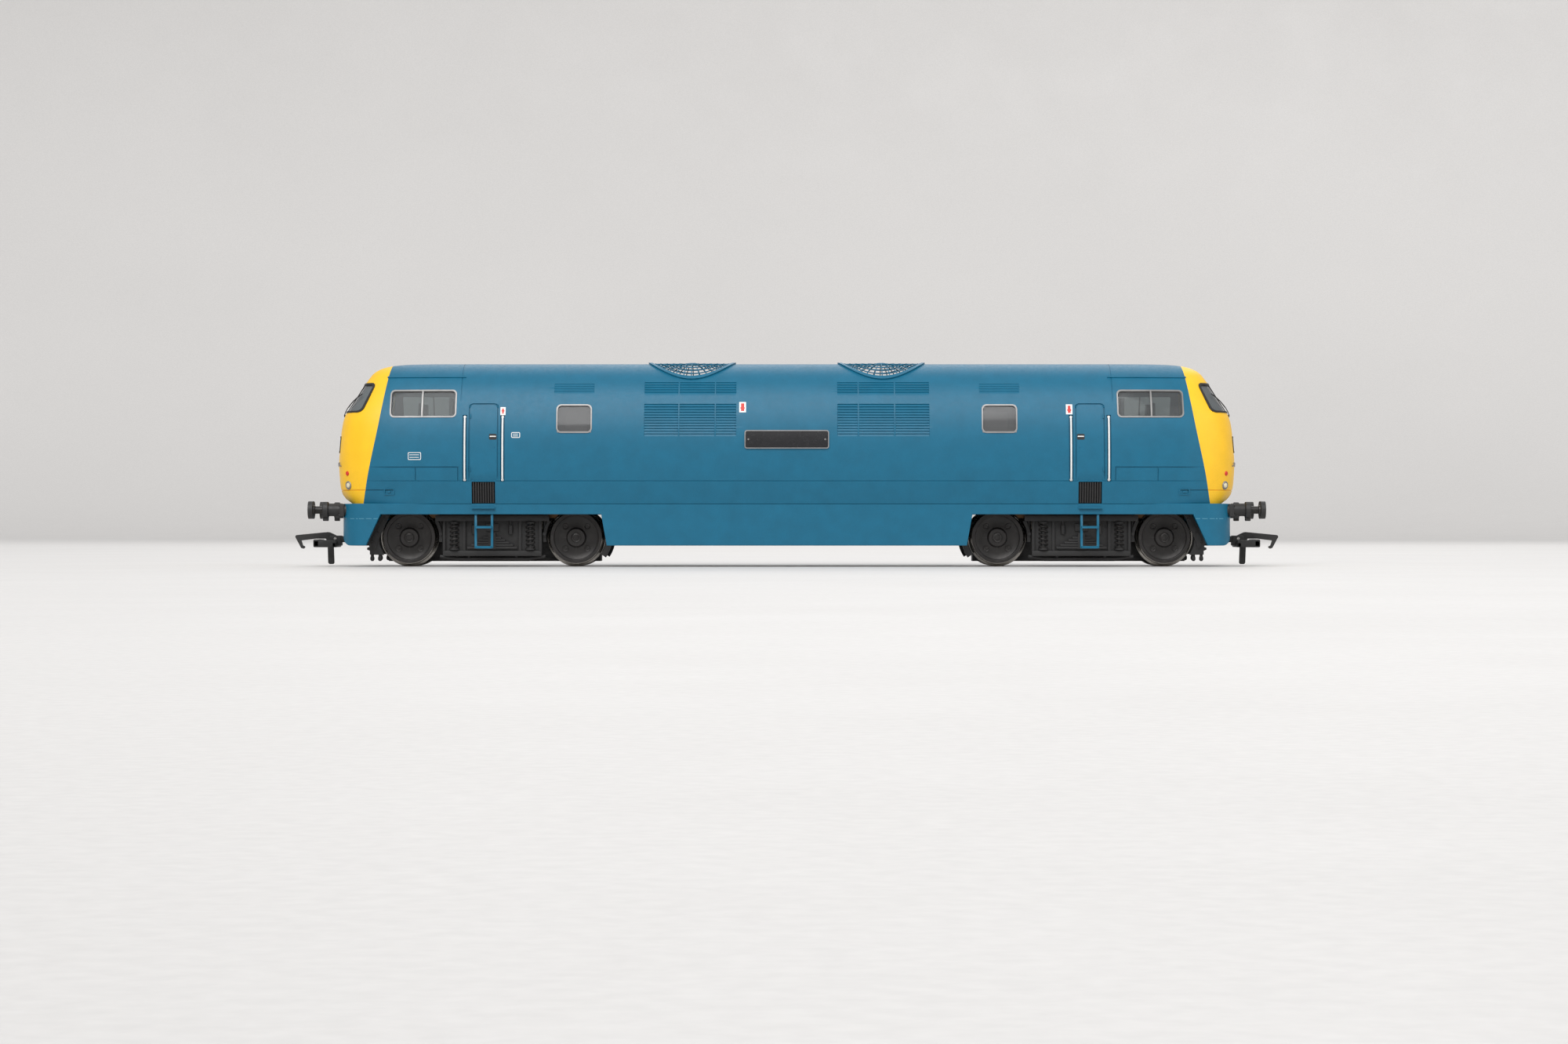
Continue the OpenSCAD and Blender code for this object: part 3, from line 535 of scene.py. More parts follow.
IVORY = surface("ivory_acetal", (0.74, 0.71, 0.60), 0.4, bump=0.12, vary=0.05)
BOARD = surface("green_solder_resist", (0.015, 0.12, 0.05), 0.3, patch=900, bump=0.1, vary=0.4, coat=0.4)
COPPER = surface("phosphor_bronze_strip", (0.13, 0.075, 0.04), 0.38, metal=1.0, bump=0.1, vary=0.12,
                 stretch=(1, 1, 8))
WINDING = surface("lacquered_laminations", (0.38, 0.17, 0.07), 0.35, metal=0.7, bump=0.4, grain=2500,
                  vary=0.25, stretch=(6, 1, 1))
RED = surface("red_printed_bar", (0.62, 0.03, 0.02), 0.45, bump=0.08, vary=0.05)
LENS = surface("clear_lamp_lens", (0.75, 0.68, 0.48), 0.12, bump=0.03, vary=0.05, coat=0.8)
# Pale blue for the light dashes under the skirt steps: painted highlight where light catches the edge.
STEP_HIGHLIGHT_PAINT = surface("pale_blue_painted_highlight", (0.10, 0.33, 0.45), 0.5)
RUBBER = surface("window_gasket_rubber", (0.016, 0.016, 0.016), 0.6, bump=0.2, vary=0.15)
GLASS = glass_finish("clear_glazing", (0.62, 0.66, 0.66))
SMOKED = glass_finish("side_window_glazing", (0.42, 0.41, 0.40), 0.38)


# ---------------------------------------------------------------- body shell

EDGE = 0.05         # width of the wall at the edge of a recess
GAP_HALF = 0.1      # half width of a seam
DOOR_GAP, DOOR_GAP_DEPTH = 0.17, 0.28
DOOR = (72.2, 79.3, 21.6, 40.7)
DOOR_ROUND = 1.0
RAIL_XS = (71.0, 80.45)
RAIL_ZS = (21.6, 37.6)
STEP = (72.9, 78.7, BODY_Z, 21.2)       # foothold below the door
STEP_DEPTH = 0.75
BAYS = ((12.7, 17.7), (18.1, 26.8), (27.2, 35.6))
SIDE_WINDOW = (48.7, 57.6, 33.4, 40.6)
CAB_WINDOW = (82.6, 99.4, 37.3, 44.3)
SCREEN_Q = (0.055, 0.83)    # windscreen opening, as shares of the way from the centre line to the paint
SCREEN_Z = (38.9, 46.0)
HEADCODE_Q = 0.40
HEADCODE_Z = (28.9, 32.6)
HEADCODE_DEPTH = 0.35
NOSE_LINE = (19.09, 19.29)
LINE_DEPTH = 0.2
FAN_X, FAN_R = 24.0, 10.4
FAN_Z = 44          # the openings in the roof lie above this
FAN_GRID = 0.62     # spacing of the grid lines round them
LEAST_SPACING, CROWN_SPACING = 0.02, 0.0005     # between grid lines
LIP = 0.31          # how far an opening is drawn in from its frame's outer edge

# Recesses on the side: x from, x to, z from, z to, depth. Slats: x from, x to, first z, pitch, count, depth.
RECESSES = [
    *[(x - 0.5, x + 0.5, RAIL_ZS[0] - 0.3, RAIL_ZS[1] + 0.3, 0.42) for x in RAIL_XS],
    (*STEP, STEP_DEPTH),
    (82.0, 102.3, 24.8, 24.98, LINE_DEPTH), (98.4, 107.0, 19.1, 19.28, LINE_DEPTH),
    (82.0, 82.2, 21.5, 24.98, LINE_DEPTH), (92.6, 92.8, 21.5, 24.98, LINE_DEPTH),
]
SLATS = ([(*bay, 32.6, 0.68, 12, 0.24) for bay in BAYS] + [(*bay, 43.2, 0.62, 5, 0.2) for bay in BAYS]
         + [(48.3, 58.2, 43.4, 0.62, 4, 0.12)])
CREASE_Z, CREASE_END, CREASE_DEPTH = 21.45, 104, 0.1
ROOF_SEAMS, SEAM_Z, SEAM_DEPTH = (41.5, 62.0, 81.5), 42.0, 0.12


def box_distance(x, z, rect, radius):
    """Signed distance to a rounded rectangle."""
    cx, cz = (rect[0] + rect[1]) / 2, (rect[2] + rect[3]) / 2
    dx = abs(x - cx) - (rect[1] - rect[0]) / 2 + radius
    dz = abs(z - cz) - (rect[3] - rect[2]) / 2 + radius
    return math.hypot(max(dx, 0), max(dz, 0)) + min(max(dx, dz), 0) - radius


def side_depth(x, z):
    """How far the side's surface is cut in at (x, z)."""
    depth = 0.0
    for x0, x1, z0, z1, d in RECESSES:
        if x0 - 1e-6 <= x <= x1 + 1e-6 and z0 - 1e-6 <= z <= z1 + 1e-6:
            depth = max(depth, d)
    for x0, x1, z0, pitch, count, d in SLATS:
        if x0 - 1e-6 <= x <= x1 + 1e-6 and z0 <= z <= z0 + pitch * count:
            share = ((z - z0) % pitch) / (pitch - EDGE)
            depth = max(depth, d * share if 1e-4 < share <= 1.001 else 0.0)
    gap = abs(box_distance(x, z, DOOR, DOOR_ROUND))
    depth = max(depth, DOOR_GAP_DEPTH * min(1.0, max(0.0, (DOOR_GAP - gap) / EDGE)))
    if abs(z - CREASE_Z) < GAP_HALF and x < CREASE_END:
        depth = max(depth, CREASE_DEPTH)
    for seam in ROOF_SEAMS:
        if abs(x - seam) < GAP_HALF and z > SEAM_Z:
            depth = max(depth, SEAM_DEPTH)
    return depth


def beside(value, *gaps):
    """Values at each gap on both sides of a value."""
    return {value + side * gap for gap in gaps for side in SIDES}


def body_lines():
    """Grid lines of the side: x from the centre, and z."""
    xs, zs = set(spaced(0, CAB_X, 2.6)), set(spaced(BODY_Z, 46.0, 1.1))
    for x0, x1, z0, z1, _ in RECESSES:
        xs |= {x0 - EDGE, x0, x1, x1 + EDGE}
        zs |= {z0 - EDGE, z0, z1, z1 + EDGE}
    for x0, x1, z0, pitch, count, _ in SLATS:
        xs |= {x0 - EDGE, x0, x1, x1 + EDGE}
        for i in range(count):
            zs |= {z0 + pitch * i, z0 + pitch * (i + 1) - EDGE}
        zs.add(z0 + pitch * count)
    left, right, sill, head = DOOR
    near_gap = (DOOR_GAP, DOOR_GAP - EDGE)
    xs |= beside(left, *near_gap) | beside(right, *near_gap)
    zs |= beside(head, *near_gap) | {sill - gap for gap in near_gap}
    for k in range(9):
        inset = 0.2 + 0.13 * k
        zs.add(head - inset)
        xs |= {left + inset, right - inset}
    for window in (SIDE_WINDOW, CAB_WINDOW):
        xs |= {window[0] + LIP, window[1] - LIP}
        zs |= {window[2] + LIP, window[3] - LIP}
    zs |= {*SCREEN_Z, *HEADCODE_Z, CROWN_Z, ROOF_Z} | beside(CREASE_Z, GAP_HALF, GAP_HALF + EDGE)
    zs |= {section_z(y) for y in spaced(12.2, 0.4, FAN_GRID)}
    xs |= set(spaced(FAN_X - FAN_R - 0.6, FAN_X + FAN_R + 0.6, FAN_GRID))
    for seam in ROOF_SEAMS:
        xs |= beside(seam, GAP_HALF, GAP_HALF + EDGE)
    return thin_out(xs, CAB_X), thin_out({z for z in zs if BODY_Z <= z <= ROOF_Z}, ROOF_Z)


def thin_out(values, last):
    """Sorted values without near repeats; on the flat crown, close heights are still well apart across."""
    kept = []
    for v in sorted(values):
        least = CROWN_SPACING if v > CROWN_Z else LEAST_SPACING
        if v <= last + 1e-9 and (not kept or v - kept[-1] > least):
            kept.append(v)
    return kept


def column_xy(column, z):
    """Point of a column at height z on the -Y half; a column is (end, is it on the nose, x or share)."""
    end, on_nose, value = column
    if on_nose:
        x, y = front_xy(value * paint_share(z), z)
    else:
        x = value
        if x > SCALED_FROM:
            room = (paint_end(z) - PAINT_CLEAR - SCALED_FROM) / (CAB_X - SCALED_FROM)
            x = SCALED_FROM + (x - SCALED_FROM) * min(1.0, room)
        x, y = side_xy(x, z)
    return end * x, y


def column_depth(column, z):
    """How far a column's point is cut in at height z."""
    _, on_nose, value = column
    if not on_nose:
        return side_depth(value, z)
    if value < HEADCODE_Q + 0.001 and HEADCODE_Z[0] <= z <= HEADCODE_Z[1]:
        return HEADCODE_DEPTH
    return LINE_DEPTH if NOSE_LINE[0] <= z <= NOSE_LINE[1] else 0.0


def body_shell():
    """Double-walled grid over sides, roof and noses, with its recesses, openings and paint edge."""
    xs, zs = body_lines()
    nose = [0.0, 0.05, SCREEN_Q[0], 0.12, 0.2, 0.28, 0.36, HEADCODE_Q, HEADCODE_Q + 0.006, 0.46, 0.52, 0.58,
            0.64, 0.70, 0.75, 0.79, SCREEN_Q[1], 0.87, 0.90, 0.93, 0.955, 0.975, 0.99, 1.0]
    columns = ([(-1, True, q) for q in nose] + [(-1, False, x) for x in reversed(xs)]
               + [(1, False, x) for x in xs[1:]] + [(1, True, q) for q in reversed(nose)])
    rows, cols = len(zs), len(columns)
    place = np.array([[(*column_xy(c, z), z) for c in columns] for z in zs])
    along, up = np.gradient(place, axis=1), np.gradient(place, axis=0)
    normal = np.cross(along, up)
    normal[:, (0, -1), 1] = 0.0
    normal[-1, :, :2] = 0.0
    normal[-1, :, 2] = 1.0
    normal /= np.maximum(1e-9, np.linalg.norm(normal, axis=2, keepdims=True))
    depth = np.array([[column_depth(c, z) for c in columns] for z in zs])
    outer = place - normal * depth[..., None]
    inner = place - normal * SHELL
    inner[:, (0, -1), 1] = 0.0
    inner[-1, :, 1] = 0.0

    def is_open(i, j):
        (_, on_nose, value), (_, next_on_nose, next_value) = columns[j:j + 2]
        middle, middle_z = (value + next_value) / 2, (zs[i] + zs[i + 1]) / 2
        if on_nose and next_on_nose:
            return SCREEN_Q[0] < middle < SCREEN_Q[1] and SCREEN_Z[0] < middle_z < SCREEN_Z[1]
        if not on_nose and not next_on_nose:
            for x0, x1, z0, z1 in (SIDE_WINDOW, CAB_WINDOW):
                if x0 + LIP < middle < x1 - LIP and z0 + LIP < middle_z < z1 - LIP:
                    return True
        centre = (place[i, j] + place[i + 1, j + 1]) / 2
        return middle_z > FAN_Z and math.hypot(abs(centre[0]) - FAN_X, centre[1]) < FAN_R + 0.1

    solid = [[not is_open(i, j) for j in range(cols - 1)] for i in range(rows - 1)]
    b = Build()
    for half in SIDES:
        flip = np.array([1, -half, 1])
        verts = np.concatenate([outer.reshape(-1, 3), inner.reshape(-1, 3)]) * flip
        at = lambda k, i, j: k * rows * cols + i * cols + j
        kept = {}
        for i in range(rows - 1):
            for j in range(cols - 1):
                if not solid[i][j]:
                    continue
                quad = (at(0, i, j), at(0, i, j + 1), at(0, i + 1, j + 1), at(0, i + 1, j))
                faces = kept.setdefault(face_colour(columns, zs, depth, i, j), [])
                faces += [quad, tuple(q + rows * cols for q in reversed(quad))]
                for di, dj, p, q in ((-1, 0, (i, j), (i, j + 1)), (1, 0, (i + 1, j), (i + 1, j + 1)),
                                     (0, -1, (i, j), (i + 1, j)), (0, 1, (i, j + 1), (i + 1, j + 1))):
                    m, n = i + di, j + dj
                    hole = 0 <= m < rows - 1 and 0 <= n < cols - 1 and not solid[m][n]
                    if m < 0 or hole:
                        faces.append((at(0, *p), at(0, *q), at(1, *q), at(1, *p)))
        base = len(b.verts)
        b.verts += [tuple(v) for v in verts.tolist()]
        for mat, faces in kept.items():
            b.faces += [tuple(base + k for k in f) for f in faces]
            b.mats += [mat] * len(faces)
    return b.make("body_shell_painted", BODY, [BLUE, YELLOW, DARK], ["body_shell"], slot="body_shell")


def face_colour(columns, zs, depth, i, j):
    """0 blue, 1 yellow, 2 black, which lies in the footholds only."""
    if depth[i:i + 2, j:j + 2].min() == STEP_DEPTH:
        return 2
    on_nose = columns[j][1] and columns[j + 1][1]
    return 1 if on_nose and (zs[i] + zs[i + 1]) / 2 < CROWN_Z else 0


body_shell()


# ---------------------------------------------------------------- windows and trim

# Depths are measured outwards from the surface.
FRAME_NEAR, FRAME_FAR = -0.6, 0.14
PANE_NEAR, PANE_FAR = -0.55, -0.25
BAR_NEAR = -0.5


def window(b, point, rect, radius, width, across=None, far=FRAME_FAR):
    """Frame round a rectangle, with rounded corners; widths along u scale with across."""
    u0, u1, z0, z1 = rect
    scale = 1.0 if across is None else across / radius
    inner = rounded(u0 + width * scale, u1 - width * scale, z0 + width, z1 - width, radius - width * 0.6,
                    (radius - width * 0.6) * scale)
    b.band(point, rounded(u0, u1, z0, z1, radius, across), inner, FRAME_NEAR, far)


def pane(b, point, rect, scale=1.0, margin=0.2):
    """Glass set in from its frame's outer edge."""
    u0, u1, z0, z1 = rect
    b.slab(point, spaced(u0 + margin * scale, u1 - margin * scale, (u1 - u0) / 9),
           spaced(z0 + margin, z1 - margin, 1.0), PANE_NEAR, PANE_FAR)


SCREEN = (0.035, 0.85, 38.7, 46.2)
SCREEN_SCALE = 0.075        # share across for one millimetre, at a windscreen's height
CAB_BAR = 91.2              # bar between the two panes of a cab window
side_glass, side_trim, cab_glass, cab_trim = Build(), Build(), Build(), Build()
gasket, wiper = Build(), Build()
for end in SIDES:
    for side in SIDES:
        wall = side_point(end, side)
        pane(side_glass, wall, SIDE_WINDOW)
        window(side_trim, wall, SIDE_WINDOW, 1.2, 0.33)
        side_trim.slab(wall, spaced(48.9, 57.4, 0.8), [33.55, 33.85], BAR_NEAR, 0.05)
        pane(cab_glass, wall, CAB_WINDOW)
        window(cab_trim, wall, CAB_WINDOW, 1.1, 0.35)
        cab_trim.slab(wall, [CAB_BAR - 0.2, CAB_BAR + 0.2], spaced(37.5, 44.1, 0.9), BAR_NEAR, 0.1)
        nose = screen_point(end, side)
        pane(cab_glass, nose, SCREEN, SCREEN_SCALE)
        window(gasket, nose, SCREEN, 1.1, 0.42, 1.1 * SCREEN_SCALE, far=0.18)
        shares = spaced(0, 1, 0.25)
        wiper.tube([nose(0.10 + 0.42 * t, 38.0 + 3.9 * t, 0.45 - 0.1 * t) for t in shares], 0.11)
        wiper.tube([nose(0.30 + 0.37 * t, 40.1 + 3.2 * t, 0.33) for t in shares], 0.14, sides=6)
        wiper.stud([(CORE, 0.42), (0.3, 0.4), (0.34, 0.1), (0.34, -0.3), (CORE, -0.3)], nose, 0.10, 38.0)
side_glass.make("side_window_panes_clear", BODY, [SMOKED], ["side_window_panes"])
side_trim.make("side_window_trim", BODY, [SILVER], ["side_window_frames"])
cab_glass.make("cab_window_panes", BODY, [GLASS], ["cab_glazing"])
cab_trim.make("cab_window_trim", BODY, [SILVER])
gasket.make("windscreen_gaskets", BODY, [RUBBER])
wiper.make("windscreen_wipers", BODY, [BLACK])


BLADE_Z = 45.4
WIRES = (1.7, 4.9)      # rings of the grille from which every other spoke starts


def over_roof(x0, radius, angle, out):
    """Point of the roof at a radius and angle about a fan's centre."""
    return roof_point(x0 + radius * math.cos(angle), radius * math.sin(angle), out)


def fan_blade(x0, turn):
    """Function (radius, across, out) on one twisted blade."""
    def point(r, c, out):
        pitch = math.radians(52 - 3.2 * r)
        u = c * math.cos(pitch)
        return (x0 + r * math.cos(turn) - u * math.sin(turn), r * math.sin(turn) + u * math.cos(turn),
                BLADE_Z + c * math.sin(pitch) + out)
    return point


def fans():
    """Radial wire grille in a raised rim over each fan, and the bladed fan in its duct below."""
    grille, blades = Build(), Build()
    for x0 in (-FAN_X, FAN_X):
        rim = ((FAN_R - 0.1, -0.7), (FAN_R - 0.1, 0.42), (FAN_R + 0.7, 0.42), (FAN_R + 0.7, -0.7))
        grille.grid([[over_roof(x0, r, a, out) for a in around(72)] for r, out in rim], 0, True, True)
        for r in (WIRES[0], 3.3, WIRES[1], 6.5, 8.1, 9.4):
            grille.tube([over_roof(x0, r, a, 0.1) for a in around(64)], 0.13, sides=6, closed=True)
        for k, a in enumerate(around(32)):
            grille.tube([over_roof(x0, r, a, 0.05) for r in spaced(WIRES[k % 2], FAN_R, 1.1)], 0.12, sides=6)
        grille.lathe([(CORE, 0.36), (0.9, 0.34), (1.25, 0.2), (1.3, -0.3), (CORE, -0.3)], (x0, 0, ROOF_Z), UP,
                     sides=24)
        duct = [(10.15, 46.2), (10.15, 43.2), (10.7, 43.0), (10.7, 45.6), (10.15, 46.2)]
        blades.lathe(duct, (x0, 0, 0), UP, 1, 64)
        blades.lathe([(CORE, 47.6), (1.2, 47.5), (1.7, 47.0), (1.7, 43.6), (CORE, 43.6)], (x0, 0, 0), UP, 1)
        blades.box((x0 - 10.3, -0.8, 42.8), (x0 + 10.3, 0.8, 43.5), 0.15, 1)
        for turn in around(8):
            blades.slab(fan_blade(x0, turn), spaced(1.5, 9.7, 1.0), spaced(-1.9, 1.9, 0.7), -0.15, 0.15)
    grille.make("roof_fan_grilles", BODY, [BLUE], ["fan_grilles"])
    blades.make("roof_fan_rotors", BODY, [DARK_METAL, BLACK], ["roof_fans"])


fans()


def body_fittings():
    """Handrails, door furniture, foothold ribs, gutters, sockets and steps."""
    rails, doors, ribs, gutter, step = Build(), Build(), Build(), Build(), Build()
    low, high = RAIL_ZS
    foot = [(low + 0.1, -0.45), (low + 0.12, -0.1), (low + 0.35, 0.03)]
    rail = foot + [(z, 0.06) for z in spaced(low + 1, high - 1, 1.5)]
    rail += [(high + low - z, out) for z, out in reversed(foot)]
    handle = ((72.65, -0.3), (72.7, 0.05), (73.4, 0.1), (74.1, 0.05), (74.15, -0.3))
    for end in SIDES:
        for side in SIDES:
            wall, skirt_side = side_point(end, side), apron_point(end, side)
            for x in RAIL_XS:
                rails.tube([wall(x, z, out) for z, out in rail], 0.22, sides=12)
                for z in (low + 0.1, high - 0.1):
                    rails.stud([(CORE, -0.15), (0.32, -0.15), (0.35, -0.4), (CORE, -0.4)], wall, x, z)
            doors.tube([wall(x, 32.55, out) for x, out in handle], 0.15, sides=8)
            # Dark plate behind the handle: painted shade of the handle's recess.
            doors.plate(wall, rounded(72.45, 74.35, 31.75, 33.2, 0.3), -0.1, 0.015, 1)
            doors.stud([(CORE, 0.09), (0.2, 0.07), (0.26, -0.1), (CORE, -0.1)], wall, 73.1, 29.9, 2)
            for z in (24.4, 37.6):
                doors.tube([wall(79.05, z - 0.5, 0.05), wall(79.05, z + 0.5, 0.05)], 0.2, 2, 10)
            for k in range(9):
                x = STEP[0] + 0.45 + 0.6125 * k
                ribs.slab(wall, [x - 0.16, x + 0.16], spaced(BODY_Z + 0.15, STEP[3] - 0.1, 1.0), -0.8, -0.12)
            gutter.slab(wall, spaced(80.6, 100.6, 1.0), [47.45, 47.75], -0.1, 0.22)
            gutter.band(wall, rounded(98.0, 100.7, 18.0, 19.6, 0.35),
                        rounded(98.25, 100.45, 18.25, 19.35, 0.2), -0.2, 0.16)
            gutter.slab(wall, [99.0, 99.75], [18.55, 19.05], -0.1, 0.2)
            step.slab(skirt_side, [STEP[0], STEP[1]], [14.55, 14.85], -0.2, 0.75)
            # Light dashes along the edge below each step: painted highlight where the edge catches the light.
            for x0, x1 in ((102.2, 103.3), (103.8, 105.2), (105.7, 107.0), (107.3, 107.8), (108.2, 109.3)):
                step.slab(skirt_side, spaced(x0, x1, 0.4), [11.98, 12.1], -0.1, 0.05, 1)
    rails.make("door_handrails", BODY, [WHITE], ["handrails"])
    doors.make("door_furniture", BODY, [WHITE, BLACK, BLUE])
    ribs.make("foothold_ribs", BODY, [BLACK])
    gutter.make("gutters_and_sockets", BODY, [BLUE])
    step.make("skirt_steps", BODY, [BLUE, STEP_HIGHLIGHT_PAINT])


def printed_panels():
    """Small unlettered panels: white with a red middle and bar, and outlined with two bars."""
    prints = Build()
    for x0, x1, z0, z1 in ((-11.9, -10.2, 38.6, 41.2), (69.8, 71.4, 38.1, 40.6), (-71.6, -70.3, 37.9, 39.9)):
        prints.slab(near_point, [x0, x1], spaced(z0, z1, 0.7), -0.1, 0.04)
        prints.slab(near_point, [x0 + 0.45, x1 - 0.45], spaced(z0 + 0.35, z1 - 0.35, 0.7), 0.0, 0.07, 1)
        prints.slab(near_point, [x0 + 0.3, x1 - 0.3], [z0 + 0.9, z0 + 1.25], 0.0, 0.075, 1)
    for x0, x1, z0, z1 in ((-94.6, -91.3, 26.7, 28.6), (-68.8, -66.6, 32.2, 33.6)):
        prints.band(near_point, rounded(x0, x1, z0, z1, 0.3),
                    rounded(x0 + 0.16, x1 - 0.16, z0 + 0.16, z1 - 0.16, 0.2), -0.1, 0.05)
        for k in (0.33, 0.66):
            z = z0 + (z1 - z0) * k
            prints.slab(near_point, [x0 + 0.4, x1 - 0.5], [z - 0.07, z + 0.07], -0.1, 0.045)
    prints.add_turned()
    prints.make("printed_panels", BODY, [WHITE, RED])


def nameplates():
    """Blank black boards with a silver border and two screws."""
    plate = Build()
    half, low, high = 10.55, 29.5, 34.1
    plate.slab(near_point, spaced(0.15 - half, half - 0.15, 1.2), spaced(low + 0.15, high - 0.15, 0.8),
               -0.1, 0.2)
    plate.band(near_point, rounded(-half, half, low, high, 0.6, straight=12),
               rounded(0.25 - half, half - 0.25, low + 0.25, high - 0.25, 0.4, straight=12), -0.1, 0.32, 1)
    screw = [(CORE, 0.12), (0.18, 0.1), (0.24, 0.0), (CORE, 0.0)]
    for x in (-9.6, 9.6):
        plate.lathe(screw, near_point(x, 31.8, 0.2), (0, -1, 0), 1, 12)
    plate.add_turned()
    plate.make("nameplate_boards", BODY, [GLOSS_BLACK, SILVER], ["nameplates"])


body_fittings()
printed_panels()
nameplates()


LAMP_Y = 11.3


def nose_fittings():
    """Headcode box, marker lamps and lamp irons of each nose."""
    box, lamps = Build(), Build()
    lens = [(CORE, 0.42), (0.35, 0.38), (0.62, 0.25), (0.72, 0.05), (0.72, -0.4), (CORE, -0.4)]
    lens_ring = [(0.74, -0.5), (0.74, 0.2), (0.98, 0.24), (1.08, 0.1), (1.08, -0.5), (0.74, -0.5)]
    red_lens = [(CORE, 0.25), (0.5, 0.2), (0.6, 0.0), (0.6, -0.3), (CORE, -0.3)]
    iron = ((25.3, -0.1), (25.35, 0.4), (26.1, 0.45), (26.2, 0.45))
    window_zs = spaced(29.0, 32.5, 0.9)
    for end in SIDES:
        nose = front_point(end)
        box.slab(nose, spaced(-6.2, 6.2, 0.8), window_zs, -0.5, -0.22)
        box.band(nose, rounded(-6.55, 6.55, 28.65, 32.85, 0.6, straight=10),
                 rounded(-6.15, 6.15, 29.05, 32.45, 0.3, straight=10), -0.5, 0.16, 1)
        for y in (-3.07, 0.0, 3.07):
            box.slab(nose, [y - 0.12, y + 0.12], window_zs, -0.4, -0.05, 1)
        for y in (-LAMP_Y, LAMP_Y):
            lamps.stud(lens, nose, y, 20.4, 0, 48)
            lamps.stud(lens_ring, nose, y, 20.4, 1, 48)
            lamps.stud(red_lens, nose, y, 23.4, 2, 24)
        for y in (-8.4, 0.0, 8.4):
            lamps.tube([nose(y, z, out) for z, out in iron], 0.2, 1, 8)
    box.make("headcode_boxes", BODY, [GLOSS_BLACK, RUBBER], ["headcode_panels"])
    lamps.make("marker_lamps", BODY, [LENS, SILVER, RED], ["lamp_lenses"])


nose_fittings()


# ---------------------------------------------------------------- skirt

BEAM_Z, BEAM_HALF, APRON_INNER = 12.0, 13.2, 10.5
PANEL_X = (45.0, 46.4)          # raked end of the panel between the bogies, at its bottom and top
RAKE_X = (101.6, 105.3)         # raked end of the apron, at its top and bottom
SKIRT_THICK = 1.1
CORNER = 2.1                    # rounding of the apron's lower front corner, seen from the side


def skirt_columns():
    """Outline from the middle of the side to the apron's inner edge: x, y, normal x, normal y."""
    straight = sorted({*spaced(0, APRON_X - APRON_DEPTH, 3.2), *PANEL_X})
    columns = [(x, APRON_HALF, 0.0, 1.0) for x in straight]
    lift = 2 / APRON_POWER
    for y in [16.1, 16.0, 15.9, 15.8, 15.6, 15.4, 15.1, 14.8, 14.5, 14.2, 13.9, 13.6, 13.3, BEAM_HALF,
              12.9, 12.5, 12.0, 11.5, 11.0, APRON_INNER]:
        t = math.acos((y / APRON_HALF) ** (1 / lift))
        reach = math.sin(t) ** lift
        n = unit(np.array([reach ** (APRON_POWER - 1) / APRON_DEPTH,
                           (y / APRON_HALF) ** (APRON_POWER - 1) / APRON_HALF]))
        columns.append((APRON_X - APRON_DEPTH + APRON_DEPTH * reach, y, n[0], n[1]))
    return columns


def skirt_bottom(x, tip):
    """Lower edge: panel between the bogies, raked cut-outs over the wheels, apron with a rounded corner."""
    edge = float(np.interp(x, [*PANEL_X, *RAKE_X], [APRON_Z, VALANCE_Z, VALANCE_Z, APRON_Z]))
    inset = tip - x
    if inset < CORNER:
        edge = APRON_Z + CORNER - math.sqrt(CORNER ** 2 - (CORNER - inset) ** 2)
    return edge


def skirt():
    """Skirt along both sides with an apron round each corner, and plates over the gap behind the beams."""
    half = skirt_columns()
    tip = half[-1][0]
    extra = []
    for a, b in zip(half, half[1:]):
        extra.append(a)
        for cut in RAKE_X:
            if a[0] < cut < b[0]:
                k = (cut - a[0]) / (b[0] - a[0])
                extra.append(tuple(a[i] + (b[i] - a[i]) * k for i in range(4)))
    half = extra + [half[-1]]
    b = Build()
    rows = []
    for end, columns in ((-1, list(reversed(half))), (1, half[1:])):
        for x, y, nx, ny in columns:
            low, top = skirt_bottom(x, tip), BEAM_Z if y < BEAM_HALF - 0.01 else BODY_Z
            heights = [low, low + 0.12, low + (top - low) * 0.35, low + (top - low) * 0.7, top - 0.12, top]
            ease = [0.12, 0.0, 0.0, 0.0, 0.0, 0.12]
            outer = [(end * (x - nx * e), y - ny * e, z) for z, e in zip(heights, ease)]
            inner = [(end * (x - nx * (SKIRT_THICK - e)), y - ny * (SKIRT_THICK - e), z)
                     for z, e in zip(heights, ease)]
            rows.append(outer + inner[::-1])
    b.grid(rows, close_v=True)
    for row in (rows[0], rows[-1]):
        n = len(row)
        b.add(row, [(i, i + 1, n - 2 - i, n - 1 - i) for i in range(n // 2 - 1)])
    b.add_mirrored()
    for low, high in ((104.5, 110.4), (-110.4, -104.5)):
        b.box((low, -12.6, 15.3), (high, 12.6, 15.75), 0.1)
    return b.make("skirt_with_end_aprons", BODY, [BLUE], ["valance"], sharp=40)


skirt()


# ---------------------------------------------------------------- buffers

BUFFER_Y, BUFFER_Z = 11.4, 14.2


def buffer_head(y):
    """Oval head and its stem at end B."""
    b = Build()
    loop = [(y + sy * 1.1 + 2.2 * math.cos(a), BUFFER_Z + 2.2 * math.sin(a))
            for sy, a0 in ((1, -90), (-1, 90)) for a in (math.radians(a0 + 15 * k) for k in range(13))]
    b.prism(loop, lambda across, z, x: (x, across, z), 118.85, 120.0, 0.32)
    b.lathe([(CORE, 109.6), (0.95, 109.6), (0.95, 118.4), (1.2, 118.5), (1.3, 118.9), (CORE, 118.9)],
            (0, y, BUFFER_Z), ALONG, 1, 32)
    return b


